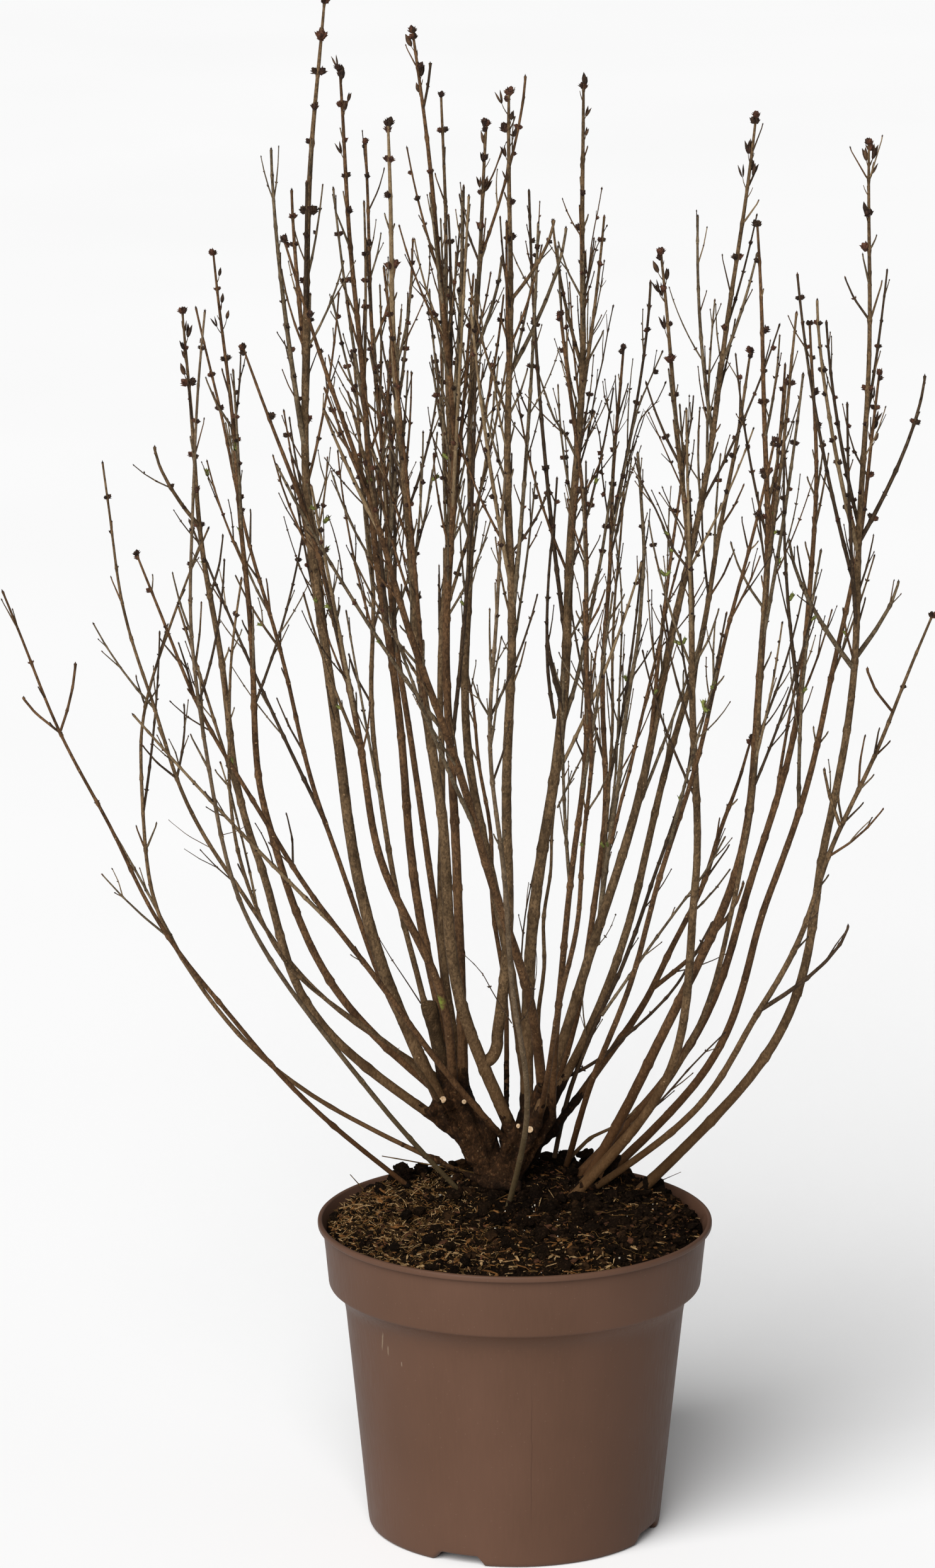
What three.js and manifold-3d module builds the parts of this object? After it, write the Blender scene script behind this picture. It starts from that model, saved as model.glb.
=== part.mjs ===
// A bare, many-stemmed lilac bush in a ten-litre nursery pot, in millimetres, +Z up.
// The origin is the middle of the pot's flat underside, and the front is -Y.
import * as THREE from 'three';
import { mergeVertices } from 'three/addons/utils/BufferGeometryUtils.js';
import Module from 'manifold-3d';

const wasm = await Module();
wasm.setup();

const GAP = 0.3; // left between touching solids

// ---- pot and soil ----
const POT_HEIGHT = 225;
const BEAD_RADIUS = 139.6;
const BEAD_HEIGHT = 5.5;
const COLLAR_TOP_RADIUS = 136;
const COLLAR_FOOT_RADIUS = 132;
const COLLAR_FOOT = 180; // height at which the collar turns under
const BODY_TOP_RADIUS = 120.7;
const BODY_TOP = 167;
const FOOT_RADIUS = 104;
const FOOT_ROUND = 3;
const WALL = 2.2;
const FLOOR_RAISE = 6.5; // the floor stands this far off the ground inside the foot ring
const FLOOR = 2.5;
const FOOT_RING = 6; // width of the ring that the pot stands on
const PAD_RADIUS = 30; // round pad in the middle of the underside
const POT_SIDES = 40;
const NOTCHES = 4;
const NOTCH_FIRST = -23; // degrees from the front, to the right
const NOTCH_FOOT_WIDTH = 40;
const NOTCH_TOP_WIDTH = 29;

const SOIL_TOP = 236; // flat crown of the mound that the stool sits on
const SOIL_FLAT_RADIUS = 102;
const SOIL_EDGE = 217; // height of the soil against the pot wall

// ---- stool: the knobby foot that the stems rise from ----
const FORK_HEIGHT = 322; // the stems are one solid with the stool up to here
const KNOBS = [
  { at: [-8, 29, 247], half: [15, 13, 15] },
  { at: [-43, 37, 310], half: [9, 18, 10] },
  { at: [-54, 23, 297], half: [7, 7, 8] },
];
const STUMPS = [ // thick old limbs, and pruned stubs cut flat at the top
  { foot: [-9, 31, 240], top: [-26, 34, 285], girth: 11 },
  { foot: [-25, 34, 281], top: [-43, 37, 314], girth: 9.4 },
  { foot: [-48, 36, 314], top: [-61, 25, 375], girth: 6.4 },
  { foot: [-16, 28, 252], top: [-54, 23, 297], girth: 7.6 },
  { foot: [0, 24, 254], top: [20, 24, 314], girth: 6.2 },
  { foot: [2, 34, 252], top: [30, 50, 278], girth: 6 },
  { foot: [-22, 18, 245], top: [4, 13, 244], girth: 4.6 },
  { foot: [-36, 26, 296], top: [-51, 10, 308], girth: 2.8 },
];
const FOOT_GATHER = 0.7; // how far a stem's foot leans in to the middle of the stool
const STUMP_TAPER = 0.85;
const LONG_FOOT = 0.1; // a stem's foot that takes more of its height than this has a bend in it

// ---- stems ----
// Each row has a stem's name, its radius at the foot (girth), the two ends of its centre line
// (foot and tip), its sideways place at the height shares in KNOTS (sweep), and the height
// share up to which it is one plain limb, or bough, with its twigs above. A stem with no
// bough is twiggy all the way up. One whose foot is at SOIL_TOP comes out of the soil alone.
const KNOTS = [0, 0.12, 0.35, 0.65, 1];
const FAN = 1.8; // how early a stem leans out to the front or back
const TIP_GIRTH = 0.9;
const TAPER = 0.8;
const THICK = 3; // a stem of more than this girth has six sides, a thinner one four
const WANDER = 1.6; // slight sideways wander of every stem
const STEMS = [ // name, girth, foot, sweep, tip, bough
  ['left_01', 2.3, [-76, 40, SOIL_TOP], [-132, -215, -287], [-351, -60, 690], 0],
  ['left_02', 2.2, [-34, 56, 300], [-118, -204, -262], [-290, 90, 751], 0],
  ['left_03', 3.0, [-6, 12, 277], [-44, -111, -191], [-256, -120, 728], 0],
  ['left_04', 4.3, [-42, 24, 281], [-127, -180, -210], [-228, -20, 876], 0.5],
  ['left_05', 2.6, [-43, 55, 290], [-86, -135, -182], [-227, 180, 846], 0],
  ['left_06', 2.2, [-22, 16, 246], [-138, -240, -265], [-217, 110, 700], 0],
  ['left_07', 3.8, [-34, 45, 287], [-114, -174, -189], [-210, 70, 902], 0.5],
  ['left_08', 2.3, [-37, 20, SOIL_TOP], [-96, -184, -216], [-206, -190, 905], 0],
  ['left_09', 4.2, [-43, 22, 312], [-50, -95, -122], [-184, -95, 864], 0.5],
  ['left_10', 2.0, [-46, 16, 290], [-69, -159, -191], [-182, -230, 734], 0],
  ['left_11', 4.6, [20, 22, 306], [11, -28, -84], [-153, -200, 953], 0.45],
  ['middle_01', 4.8, [-46, 25, 290], [-88, -125, -146], [-131, 20, 1083], 0.5],
  ['middle_02', 3.6, [-41, 43, 312], [-61, -82, -105], [-122, 90, 1028], 0.5],
  ['middle_03', 2.4, [-52, 48, 312], [-67, -96, -103], [-116, 230, 805], 0],
  ['middle_04', 2.8, [-46, 52, 312], [-51, -75, -95], [-106, 190, 963], 0],
  ['middle_05', 4.6, [-1, 18, 282], [-34, -54, -77], [-87, -50, 1009], 0.5],
  ['middle_06', 3.8, [-37, 32, 312], [-38, -47, -45], [-71, 50, 1059], 0.5],
  ['middle_07', 2.8, [-37, 52, 312], [-50, -52, -47], [-52, 140, 1003], 0],
  ['middle_08', 2.0, [-6, 50, 290], [-5, -12, -21], [-36, 290, 569], 0],
  ['middle_09', 4.0, [13, 45, 280], [0, -31, -31], [-20, 240, 969], 0.5],
  ['middle_10', 2.2, [-5, -14, SOIL_TOP], [6, -2, -17], [-9, -270, 812], 0],
  ['middle_11', 4.4, [-19, 34, 300], [-9, -5, -5], [-6, -90, 1035], 0.5],
  ['middle_12', 2.6, [27, 24, 290], [28, 40, 48], [28, -150, 896], 0],
  ['middle_13', 1.9, [15, 60, 273], [18, 19, 24], [30, 200, 476], 0],
  ['middle_14', 2.2, [17, 10, 290], [22, 35, 47], [43, -230, 719], 0],
  ['middle_15', 4.8, [9, 35, 290], [9, 28, 43], [46, 40, 1022], 0.38],
  ['middle_16', 2.6, [18, 50, 276], [42, 62, 66], [78, 190, 815], 0],
  ['right_01', 3.8, [43, 18, SOIL_TOP], [101, 122, 117], [95, -130, 934], 0.5],
  ['right_02', 4.2, [49, 38, SOIL_TOP], [89, 153, 170], [162, -60, 942], 0.5],
  ['right_03', 4.2, [12, 16, 283], [41, 89, 132], [166, 70, 998], 0.5],
  ['right_04', 2.6, [36, 70, SOIL_TOP], [50, 84, 123], [167, -230, 826], 0],
  ['right_05', 3.6, [24, 52, 290], [59, 97, 137], [168, 170, 816], 0.5],
  ['right_06', 3.2, [30, 50, 277], [59, 105, 144], [174, 230, 519], 0],
  ['right_07', 2.3, [43, 31, SOIL_TOP], [102, 152, 167], [187, -100, 889], 0],
  ['right_08', 3.6, [42, 54, SOIL_TOP], [109, 170, 208], [207, 110, 846], 0.5],
  ['right_09', 4.0, [95, 45, SOIL_TOP], [173, 220, 239], [240, 0, 989], 0.48],
  ['right_10', 3.4, [63, 57, SOIL_TOP], [129, 181, 228], [255, 90, 814], 0.5],
  ['right_11', 3.0, [55, 30, SOIL_TOP], [113, 173, 222], [281, -100, 681], 0],
].map(([name, girth, foot, sweep, tip, bough]) => (
  { name, girth, foot, sweep, tip, bough, rooted: foot[2] === SOIL_TOP }));

// ---- forks: long side stems, each leaving its stem at a height share ----
const FORK_GIRTH = 0.72; // of its stem's radius there
const FORK_FAN = 1.5;
const FORKS = [
  { on: 'left_01', at: 0.78, tip: [-340, -29, 609] },
  { on: 'left_01', at: 0.78, tip: [-301, -79, 644] },
  { on: 'left_04', at: 0.75, tip: [-247, -41, 787] },
  { on: 'middle_01', at: 0.61, tip: [-167, -12, 987] },
  { on: 'middle_01', at: 0.69, tip: [-155, 57, 949] },
  { on: 'middle_06', at: 0.93, tip: [-59, 35, 1040] },
  { on: 'middle_09', at: 0.86, tip: [8, 256, 1002] },
  { on: 'middle_09', at: 0.76, tip: [-9, 200, 880] },
  { on: 'middle_11', at: 0.81, tip: [24, -114, 954] },
  { on: 'middle_11', at: 0.74, tip: [33, -50, 939] },
  { on: 'middle_15', at: 0.41, tip: [22, 14, 644] },
  { on: 'middle_16', at: 0.77, tip: [96, 150, 870] },
  { on: 'right_09', at: 0.51, tip: [188, -22, 718] },
  { on: 'right_09', at: 0.52, tip: [268, 48, 675] },
  { on: 'right_09', at: 0.62, tip: [205, -22, 885] },
  { on: 'right_09', at: 0.63, tip: [283, 33, 823] },
  { on: 'right_11', at: 0.85, tip: [237, -116, 649] },
  { on: 'right_11', at: 0.34, tip: [229, -71, 457] },
  { on: 'right_11', at: 0.66, tip: [212, -57, 565] },
  { on: 'right_06', at: 0.32, tip: [164, 108, 442] },
];

// ---- twigs: pairs at a stem's nodes, each pair turned a right angle from the last ----
const NODE_SPACING = 24;
const FIRST_TWIG = 0.42; // height share of the lowest twigs
const TWIG_CHANCE = 0.23;
const TWIG_SHORT = 16;
const TWIG_LONG = 92;
const BENT_TWIG = 34; // a twig longer than this has a bend in it
const TWIG_GIRTH = 1.1;
const TWIG_LEAN = [0.42, 0.75]; // radians from the stem
const TWIG_BOW = 0.32; // how far a twig turns up again
const TWIG_TURN = 0.5; // spread of a pair about its right angle, in radians
const TWIG_CLEAR = 1.2; // a twig that comes nearer than this to another limb is skipped

const BARK = { color: 0x6f5845, roughness: 0.85 };
const TWIG_BARK = { color: 0x7a6350, roughness: 0.8 };
const POT_PLASTIC = { color: 0x6e5448, roughness: 0.45 };
const PEAT = { color: 0x3a2a1f, roughness: 1 };

// ---- helpers ----
const vector = (place) => new THREE.Vector3(...place);

// The same short sequence of numbers from 0 to 1 for the same seed.
function randomFrom(seed) {
  let state = seed >>> 0;
  return () => {
    state = (Math.imul(state, 1664525) + 1013904223) >>> 0;
    return state / 2 ** 32;
  };
}

function solidFrom(geometry) {
  geometry.deleteAttribute('normal');
  geometry.deleteAttribute('uv');
  const merged = mergeVertices(geometry, 1e-4);
  return new wasm.Manifold(new wasm.Mesh({
    numProp: 3,
    vertProperties: new Float32Array(merged.attributes.position.array),
    triVerts: new Uint32Array(merged.index.array),
  }));
}

function meshFrom(solid, name, look) {
  const { vertProperties, triVerts } = solid.getMesh();
  const geometry = new THREE.BufferGeometry();
  geometry.setAttribute('position', new THREE.BufferAttribute(vertProperties, 3));
  geometry.setIndex(new THREE.BufferAttribute(triVerts, 1));
  geometry.computeVertexNormals();
  const mesh = new THREE.Mesh(geometry, new THREE.MeshStandardMaterial({ metalness: 0, ...look }));
  mesh.name = name;
  return mesh;
}

// What a solid has above or below a height.
const above = (solid, height) => solid.trimByPlane([0, 0, 1], height);
const below = (solid, height) => solid.trimByPlane([0, 0, -1], -height);
const joined = (solids) => solids.reduce((whole, solid) => whole.add(solid));

// A smooth curve through values at knots, both in order.
function through(knots, values, at) {
  const last = knots.length - 1;
  const slopes = knots.slice(1).map((knot, i) => (values[i + 1] - values[i]) / (knot - knots[i]));
  const inner = slopes.slice(1).map((slope, i) => {
    const before = knots[i + 1] - knots[i];
    const after = knots[i + 2] - knots[i + 1];
    return (slopes[i] * after + slope * before) / (before + after);
  });
  const bends = [
    1.5 * slopes[0] - 0.5 * inner[0],
    ...inner,
    1.5 * slopes[last - 1] - 0.5 * inner[last - 2],
  ];
  let i = 0;
  while (i < last - 1 && at > knots[i + 1]) i += 1;
  const span = knots[i + 1] - knots[i];
  const s = (at - knots[i]) / span;
  return (2 * s ** 3 - 3 * s ** 2 + 1) * values[i] + (s ** 3 - 2 * s ** 2 + s) * span * bends[i]
    + (3 * s ** 2 - 2 * s ** 3) * values[i + 1] + (s ** 3 - s ** 2) * span * bends[i + 1];
}

// A closed tapering limb: a cylinder whose rings are set along a path.
function limb(path, girth, sides, steps, from = 0, to = 1) {
  const geometry = new THREE.CylinderGeometry(1, 1, 1, sides, steps);
  const places = geometry.attributes.position;
  const side = new THREE.Vector3();
  const away = new THREE.Vector3();
  for (let i = 0; i < places.count; i += 1) {
    const share = from + (places.getY(i) + 0.5) * (to - from);
    const along = path(share + 0.001).sub(path(share - 0.001)).normalize();
    side.set(0, 1, 0).cross(along).normalize();
    away.crossVectors(side, along);
    const place = path(share)
      .addScaledVector(side, places.getX(i) * girth(share))
      .addScaledVector(away, places.getZ(i) * girth(share));
    places.setXYZ(i, ...place);
  }
  return solidFrom(geometry);
}

// ---- stems, forks and twigs as paths ----
function stemPath(stem, index) {
  const [footX, footY, footZ] = stem.foot;
  const [tipX, tipY, tipZ] = stem.tip;
  const values = [footX, ...stem.sweep, tipX];
  const next = randomFrom(7919 * (index + 1));
  const phases = [next(), next()];
  const wander = (t, phase) => WANDER * 4 * t * (1 - t) * Math.sin(2 * Math.PI * (3 * t + phase));
  return (t) => {
    const fan = 1 - Math.max(1 - t, 0) ** FAN;
    return new THREE.Vector3(
      through(KNOTS, values, t) + wander(t, phases[0]),
      footY + (tipY - footY) * fan + wander(t, phases[1]),
      footZ + (tipZ - footZ) * t,
    );
  };
}

const stemGirth = (stem) => (t) => (
  TIP_GIRTH + (stem.girth - TIP_GIRTH) * Math.max(1 - t, 0) ** TAPER);

function forkPath(stem, fork) {
  const base = stem.path(fork.at);
  const reach = vector(fork.tip).sub(base);
  return (s) => {
    const fan = 1 - Math.max(1 - s, 0) ** FORK_FAN;
    return new THREE.Vector3(base.x + reach.x * fan, base.y + reach.y * fan, base.z + reach.z * s);
  };
}

const taperTo = (foot, tip) => (s) => foot + (tip - foot) * Math.min(Math.max(s, 0), 1);

// Closest distance between two straight pieces, each with its ends a and b.
function distanceBetween(one, other) {
  const u = one.b.clone().sub(one.a);
  const v = other.b.clone().sub(other.a);
  const w = one.a.clone().sub(other.a);
  const uu = u.dot(u);
  const uv = u.dot(v);
  const vv = v.dot(v);
  const slack = uu * vv - uv * uv;
  const clamp = (value) => Math.min(Math.max(value, 0), 1);
  let s = slack > 1e-9 ? clamp((uv * v.dot(w) - vv * u.dot(w)) / slack) : 0;
  const t = clamp((uv * s + v.dot(w)) / vv);
  s = clamp((uv * t - u.dot(w)) / uu);
  return w.addScaledVector(u, s).addScaledVector(v, -t).length();
}

// Straight pieces that stand for a path when distances are measured.
function piecesOf(path, girth, steps, owner, from = 0) {
  return Array.from({ length: steps }, (_, i) => {
    const start = from + (1 - from) * (i / steps);
    const end = from + (1 - from) * ((i + 1) / steps);
    return { a: path(start), b: path(end), girth: girth(start), owner };
  });
}

// The twig on one side of a node: it leaves the stem at a lean and turns up again.
function twigAt(stem, share, turn, lean, length) {
  const base = stem.path(share);
  const along = stem.path(share + 0.01).sub(base).normalize();
  const side = new THREE.Vector3(0, 1, 0).cross(along).normalize();
  const away = new THREE.Vector3().crossVectors(side, along);
  const out = side.multiplyScalar(Math.cos(turn)).addScaledVector(away, Math.sin(turn));
  const girth = Math.min(TWIG_GIRTH, 0.7 * stem.girthAt(share)) * (0.75 + 0.25 * length / TWIG_LONG);
  return {
    steps: length > BENT_TWIG ? 2 : 1,
    path: (s) => base.clone()
      .addScaledVector(along, length * s * Math.cos(lean))
      .addScaledVector(out, length * Math.sin(lean) * (s - TWIG_BOW * s * Math.abs(s))),
    girth: taperTo(girth, 0.55 * girth),
  };
}

function twigsOf(stem, index, pieces) {
  const next = randomFrom(104729 * (index + 1));
  const height = stem.tip[2] - stem.foot[2];
  const nodes = Math.floor(height / NODE_SPACING);
  const first = Math.max(FIRST_TWIG, stem.bough + 0.02);
  const twigs = [];
  for (let node = 1; node < nodes; node += 1) {
    for (const half of [0, Math.PI]) {
      const [chance, reach, tilt, spread] = [next(), next(), next(), next()];
      const share = node / nodes;
      if (share < first || chance > TWIG_CHANCE) continue;
      const length = (TWIG_SHORT + (TWIG_LONG - TWIG_SHORT) * reach ** 2) * (1.35 - share);
      const lean = TWIG_LEAN[0] + (TWIG_LEAN[1] - TWIG_LEAN[0]) * tilt;
      const turn = index + (node % 2) * (Math.PI / 2) + half + (spread - 0.5) * TWIG_TURN;
      const twig = twigAt(stem, share, turn, lean, length);
      const own = piecesOf(twig.path, twig.girth, 3, stem.name);
      const clear = own.every((one) => pieces.every((other) => other.owner === stem.name
        || distanceBetween(one, other) > one.girth + other.girth + TWIG_CLEAR));
      if (clear) {
        twigs.push(twig);
        pieces.push(...own);
      }
    }
  }
  return twigs;
}

// ---- pot ----
function potSolid() {
  const innerCollar = COLLAR_FOOT_RADIUS - WALL;
  const floorTop = FLOOR_RAISE + FLOOR;
  const ringInner = FOOT_RADIUS - FOOT_RING;
  const profile = [
    [0, 0],
    [PAD_RADIUS, 0],
    [PAD_RADIUS + 2, FLOOR_RAISE],
    [ringInner - 2, FLOOR_RAISE],
    [ringInner, 0],
    [FOOT_RADIUS - FOOT_ROUND, 0],
    [FOOT_RADIUS, FOOT_ROUND],
    [BODY_TOP_RADIUS, BODY_TOP],
    [BODY_TOP_RADIUS + 4, BODY_TOP + 3.5],
    [COLLAR_FOOT_RADIUS - 2.5, COLLAR_FOOT - 6],
    [COLLAR_FOOT_RADIUS, COLLAR_FOOT],
    [COLLAR_TOP_RADIUS, POT_HEIGHT - BEAD_HEIGHT],
    [BEAD_RADIUS, POT_HEIGHT - BEAD_HEIGHT + 1.2],
    [BEAD_RADIUS, POT_HEIGHT - 1.2],
    [BEAD_RADIUS - 1.4, POT_HEIGHT],
    [COLLAR_TOP_RADIUS - WALL, POT_HEIGHT],
    [innerCollar, COLLAR_FOOT],
    [BODY_TOP_RADIUS - WALL, BODY_TOP + 2],
    [FOOT_RADIUS - WALL, floorTop],
    [0, floorTop],
  ];
  const outline = profile.map(([radius, height]) => new THREE.Vector2(radius, height));
  const body = solidFrom(new THREE.LatheGeometry(outline, POT_SIDES).rotateX(Math.PI / 2));
  return body.subtract(joined(Array.from({ length: NOTCHES }, (_, i) => notch(i))));
}

// A drain notch through the ring that the pot stands on.
function notch(index) {
  const below = 1;
  const outline = new THREE.Shape([
    new THREE.Vector2(-NOTCH_FOOT_WIDTH / 2, -below),
    new THREE.Vector2(NOTCH_FOOT_WIDTH / 2, -below),
    new THREE.Vector2(NOTCH_TOP_WIDTH / 2, FLOOR_RAISE),
    new THREE.Vector2(-NOTCH_TOP_WIDTH / 2, FLOOR_RAISE),
  ]);
  const angle = (NOTCH_FIRST + index * (360 / NOTCHES)) * (Math.PI / 180);
  const block = new THREE.ExtrudeGeometry(outline, { depth: FOOT_RADIUS, bevelEnabled: false });
  block.rotateX(Math.PI / 2);
  block.translate(0, -(FOOT_RADIUS - FOOT_RING - 6), 0);
  block.rotateZ(angle);
  return solidFrom(block);
}

// ---- soil ----
function soilSolid() {
  const bottom = FLOOR_RAISE + FLOOR + GAP;
  const clearOf = (radius) => radius - WALL - GAP;
  const edge = COLLAR_FOOT_RADIUS + (COLLAR_TOP_RADIUS - COLLAR_FOOT_RADIUS)
    * ((SOIL_EDGE - COLLAR_FOOT) / (POT_HEIGHT - BEAD_HEIGHT - COLLAR_FOOT));
  const profile = [
    [0, bottom],
    [clearOf(FOOT_RADIUS), bottom],
    [clearOf(BODY_TOP_RADIUS), BODY_TOP + 2],
    [clearOf(COLLAR_FOOT_RADIUS), COLLAR_FOOT + 1],
    [clearOf(edge) - 1, SOIL_EDGE],
    [(SOIL_FLAT_RADIUS + clearOf(edge)) / 2, (SOIL_EDGE + SOIL_TOP) / 2 + 2],
    [SOIL_FLAT_RADIUS, SOIL_TOP],
    [0, SOIL_TOP],
  ];
  const outline = profile.map(([radius, height]) => new THREE.Vector2(radius, height));
  return solidFrom(new THREE.LatheGeometry(outline, POT_SIDES).rotateX(Math.PI / 2));
}

// ---- stool ----
const sidesOf = (stem) => (stem.girth > THICK ? 6 : 4);

function knob({ at, half }, index) {
  const ball = new THREE.IcosahedronGeometry(1, 1);
  ball.deleteAttribute('uv');
  ball.deleteAttribute('normal');
  const lumps = mergeVertices(ball, 1e-4);
  const next = randomFrom(31 * (index + 1));
  const places = lumps.attributes.position;
  for (let i = 0; i < places.count; i += 1) {
    const swell = 0.92 + 0.16 * next();
    places.setXYZ(i, places.getX(i) * swell, places.getY(i) * swell, places.getZ(i) * swell);
  }
  return solidFrom(lumps.scale(...half).translate(...at));
}

function straightLimb(foot, top, girth, topGirth, sides) {
  const path = (s) => vector(foot).lerp(vector(top), s);
  return limb(path, taperTo(girth, topGirth), sides, 1);
}

function stoolSolid(stems) {
  const core = KNOBS[0].at;
  const stumps = STUMPS.map(({ foot, top, girth }) => (
    straightLimb(foot, top, girth, girth * STUMP_TAPER, 6)));
  const feet = stems.filter((stem) => !stem.rooted).flatMap((stem) => {
    const [x, y, z] = stem.foot;
    const down = [x + (core[0] - x) * FOOT_GATHER, y + (core[1] - y) * FOOT_GATHER, SOIL_TOP + 14];
    const sides = sidesOf(stem) - 1;
    const steps = stem.forkShare > LONG_FOOT ? 2 : 1;
    const buried = KNOBS.some(({ at, half }) => (
      ((x - at[0]) / half[0]) ** 2 + ((y - at[1]) / half[1]) ** 2 + ((z - at[2]) / half[2]) ** 2 < 0.6));
    return [
      ...(buried ? [] : [straightLimb(down, [x, y, z + 1], stem.girth, stem.girth, sides)]),
      below(limb(stem.path, stem.girthAt, sides, steps, 0, stem.forkShare + 0.01), FORK_HEIGHT),
    ];
  });
  return above(joined([...KNOBS.map(knob), ...stumps, ...feet]), SOIL_TOP + GAP);
}

// ---- the plant ----
const stems = STEMS.map((stem, index) => {
  const whole = { ...stem, path: stemPath(stem, index), girthAt: stemGirth(stem) };
  whole.forkShare = (FORK_HEIGHT - stem.foot[2]) / (stem.tip[2] - stem.foot[2]);
  return whole;
});
const named = Object.fromEntries(stems.map((stem) => [stem.name, stem]));
const forks = FORKS.map((fork) => {
  const stem = named[fork.on];
  const foot = FORK_GIRTH * stem.girthAt(fork.at);
  return { ...fork, path: forkPath(stem, fork), girth: taperTo(foot, TIP_GIRTH) };
});
const pieces = [
  ...stems.flatMap((stem) => piecesOf(stem.path, stem.girthAt, 16, stem.name)),
  ...forks.flatMap((fork) => piecesOf(fork.path, fork.girth, 4, fork.on)),
];

const group = new THREE.Group();
group.add(meshFrom(potSolid(), 'pot', POT_PLASTIC));
group.add(meshFrom(soilSolid(), 'soil', PEAT));
group.add(meshFrom(stoolSolid(stems), 'stool', BARK));

stems.forEach((stem, index) => {
  const height = (share) => stem.foot[2] + (stem.tip[2] - stem.foot[2]) * share;
  const start = stem.rooted ? 0 : stem.forkShare;
  const startHeight = (stem.rooted ? SOIL_TOP : FORK_HEIGHT) + GAP;
  const sides = sidesOf(stem);
  const shoots = [
    ...forks.filter((fork) => fork.on === stem.name).map((fork) => limb(fork.path, fork.girth, 3, 4)),
    ...twigsOf(stem, index, pieces).map((twig) => limb(twig.path, twig.girth, 3, twig.steps)),
  ];
  if (stem.bough) {
    const bough = limb(stem.path, stem.girthAt, sides, 6, start - 0.01, stem.bough + 0.01);
    const cut = height(stem.bough);
    group.add(meshFrom(below(above(bough, startHeight), cut), `bough_${stem.name}`, BARK));
    const leader = limb(stem.path, stem.girthAt, 4, 6, stem.bough - 0.01, 1);
    group.add(meshFrom(above(joined([leader, ...shoots]), cut + GAP), `twigs_${stem.name}`, TWIG_BARK));
  } else {
    const leader = limb(stem.path, stem.girthAt, sides, 12, start - 0.01, 1);
    const whole = above(joined([leader, ...shoots]), startHeight);
    group.add(meshFrom(whole, `twigs_${stem.name}`, TWIG_BARK));
  }
});

export default group;
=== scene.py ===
"""A bare, many-stemmed lilac bush in a nursery pot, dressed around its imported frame."""

import math
from itertools import product

import bmesh
import bpy
import numpy as np
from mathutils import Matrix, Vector, noise


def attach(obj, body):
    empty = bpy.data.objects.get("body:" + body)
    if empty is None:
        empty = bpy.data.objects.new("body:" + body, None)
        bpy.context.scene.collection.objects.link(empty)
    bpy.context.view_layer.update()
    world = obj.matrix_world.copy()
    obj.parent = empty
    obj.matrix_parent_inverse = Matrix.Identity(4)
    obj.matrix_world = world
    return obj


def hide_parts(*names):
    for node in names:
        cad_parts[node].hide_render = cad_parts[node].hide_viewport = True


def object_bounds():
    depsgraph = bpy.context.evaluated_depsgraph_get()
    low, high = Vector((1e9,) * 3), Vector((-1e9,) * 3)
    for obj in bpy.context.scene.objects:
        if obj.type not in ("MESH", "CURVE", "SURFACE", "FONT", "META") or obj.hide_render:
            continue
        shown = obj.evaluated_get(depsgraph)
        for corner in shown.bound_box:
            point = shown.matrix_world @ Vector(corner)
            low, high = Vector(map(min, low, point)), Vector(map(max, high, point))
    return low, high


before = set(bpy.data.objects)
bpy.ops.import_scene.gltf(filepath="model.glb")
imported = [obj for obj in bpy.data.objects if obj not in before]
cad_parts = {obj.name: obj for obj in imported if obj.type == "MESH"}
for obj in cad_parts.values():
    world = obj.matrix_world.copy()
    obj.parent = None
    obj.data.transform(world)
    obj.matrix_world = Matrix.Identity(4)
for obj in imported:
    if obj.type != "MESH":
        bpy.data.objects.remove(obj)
cad_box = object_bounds()

# The sizes below are in millimetres, as in the part's source. Meshes are scaled to metres.
MM = 0.001

# ---- pot and soil: the source's sizes ----
FOOT_RADIUS = 104
FLOOR_RAISE = 6.5
FLOOR = 2.5
PAD_RADIUS = 30
NOTCHES = 4
NOTCH_FIRST = -23
NOTCH_FOOT_WIDTH = 40
NOTCH_TOP_WIDTH = 29
SOIL_TOP = 236
SOIL_EDGE = 217

# ---- stool ----
KNOBS = np.array([  # middle, half sizes
    ((-8, 29, 247), (15, 13, 15)),
    ((-43, 37, 310), (9, 18, 10)),
    ((-54, 23, 297), (7, 7, 8)),
])
STUMPS = [  # foot, top, girth
    ((-9, 31, 240), (-26, 34, 285), 11),
    ((-25, 34, 281), (-43, 37, 314), 9.4),
    ((-48, 36, 314), (-61, 25, 375), 6.4),
    ((-16, 28, 252), (-54, 23, 297), 7.6),
    ((0, 24, 254), (20, 24, 314), 6.2),
    ((2, 34, 252), (30, 50, 278), 6),
    ((-22, 18, 245), (4, 13, 244), 4.6),
    ((-36, 26, 296), (-51, 10, 308), 2.8),
]
FOOT_GATHER = 0.7
STUMP_TAPER = 0.85

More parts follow.
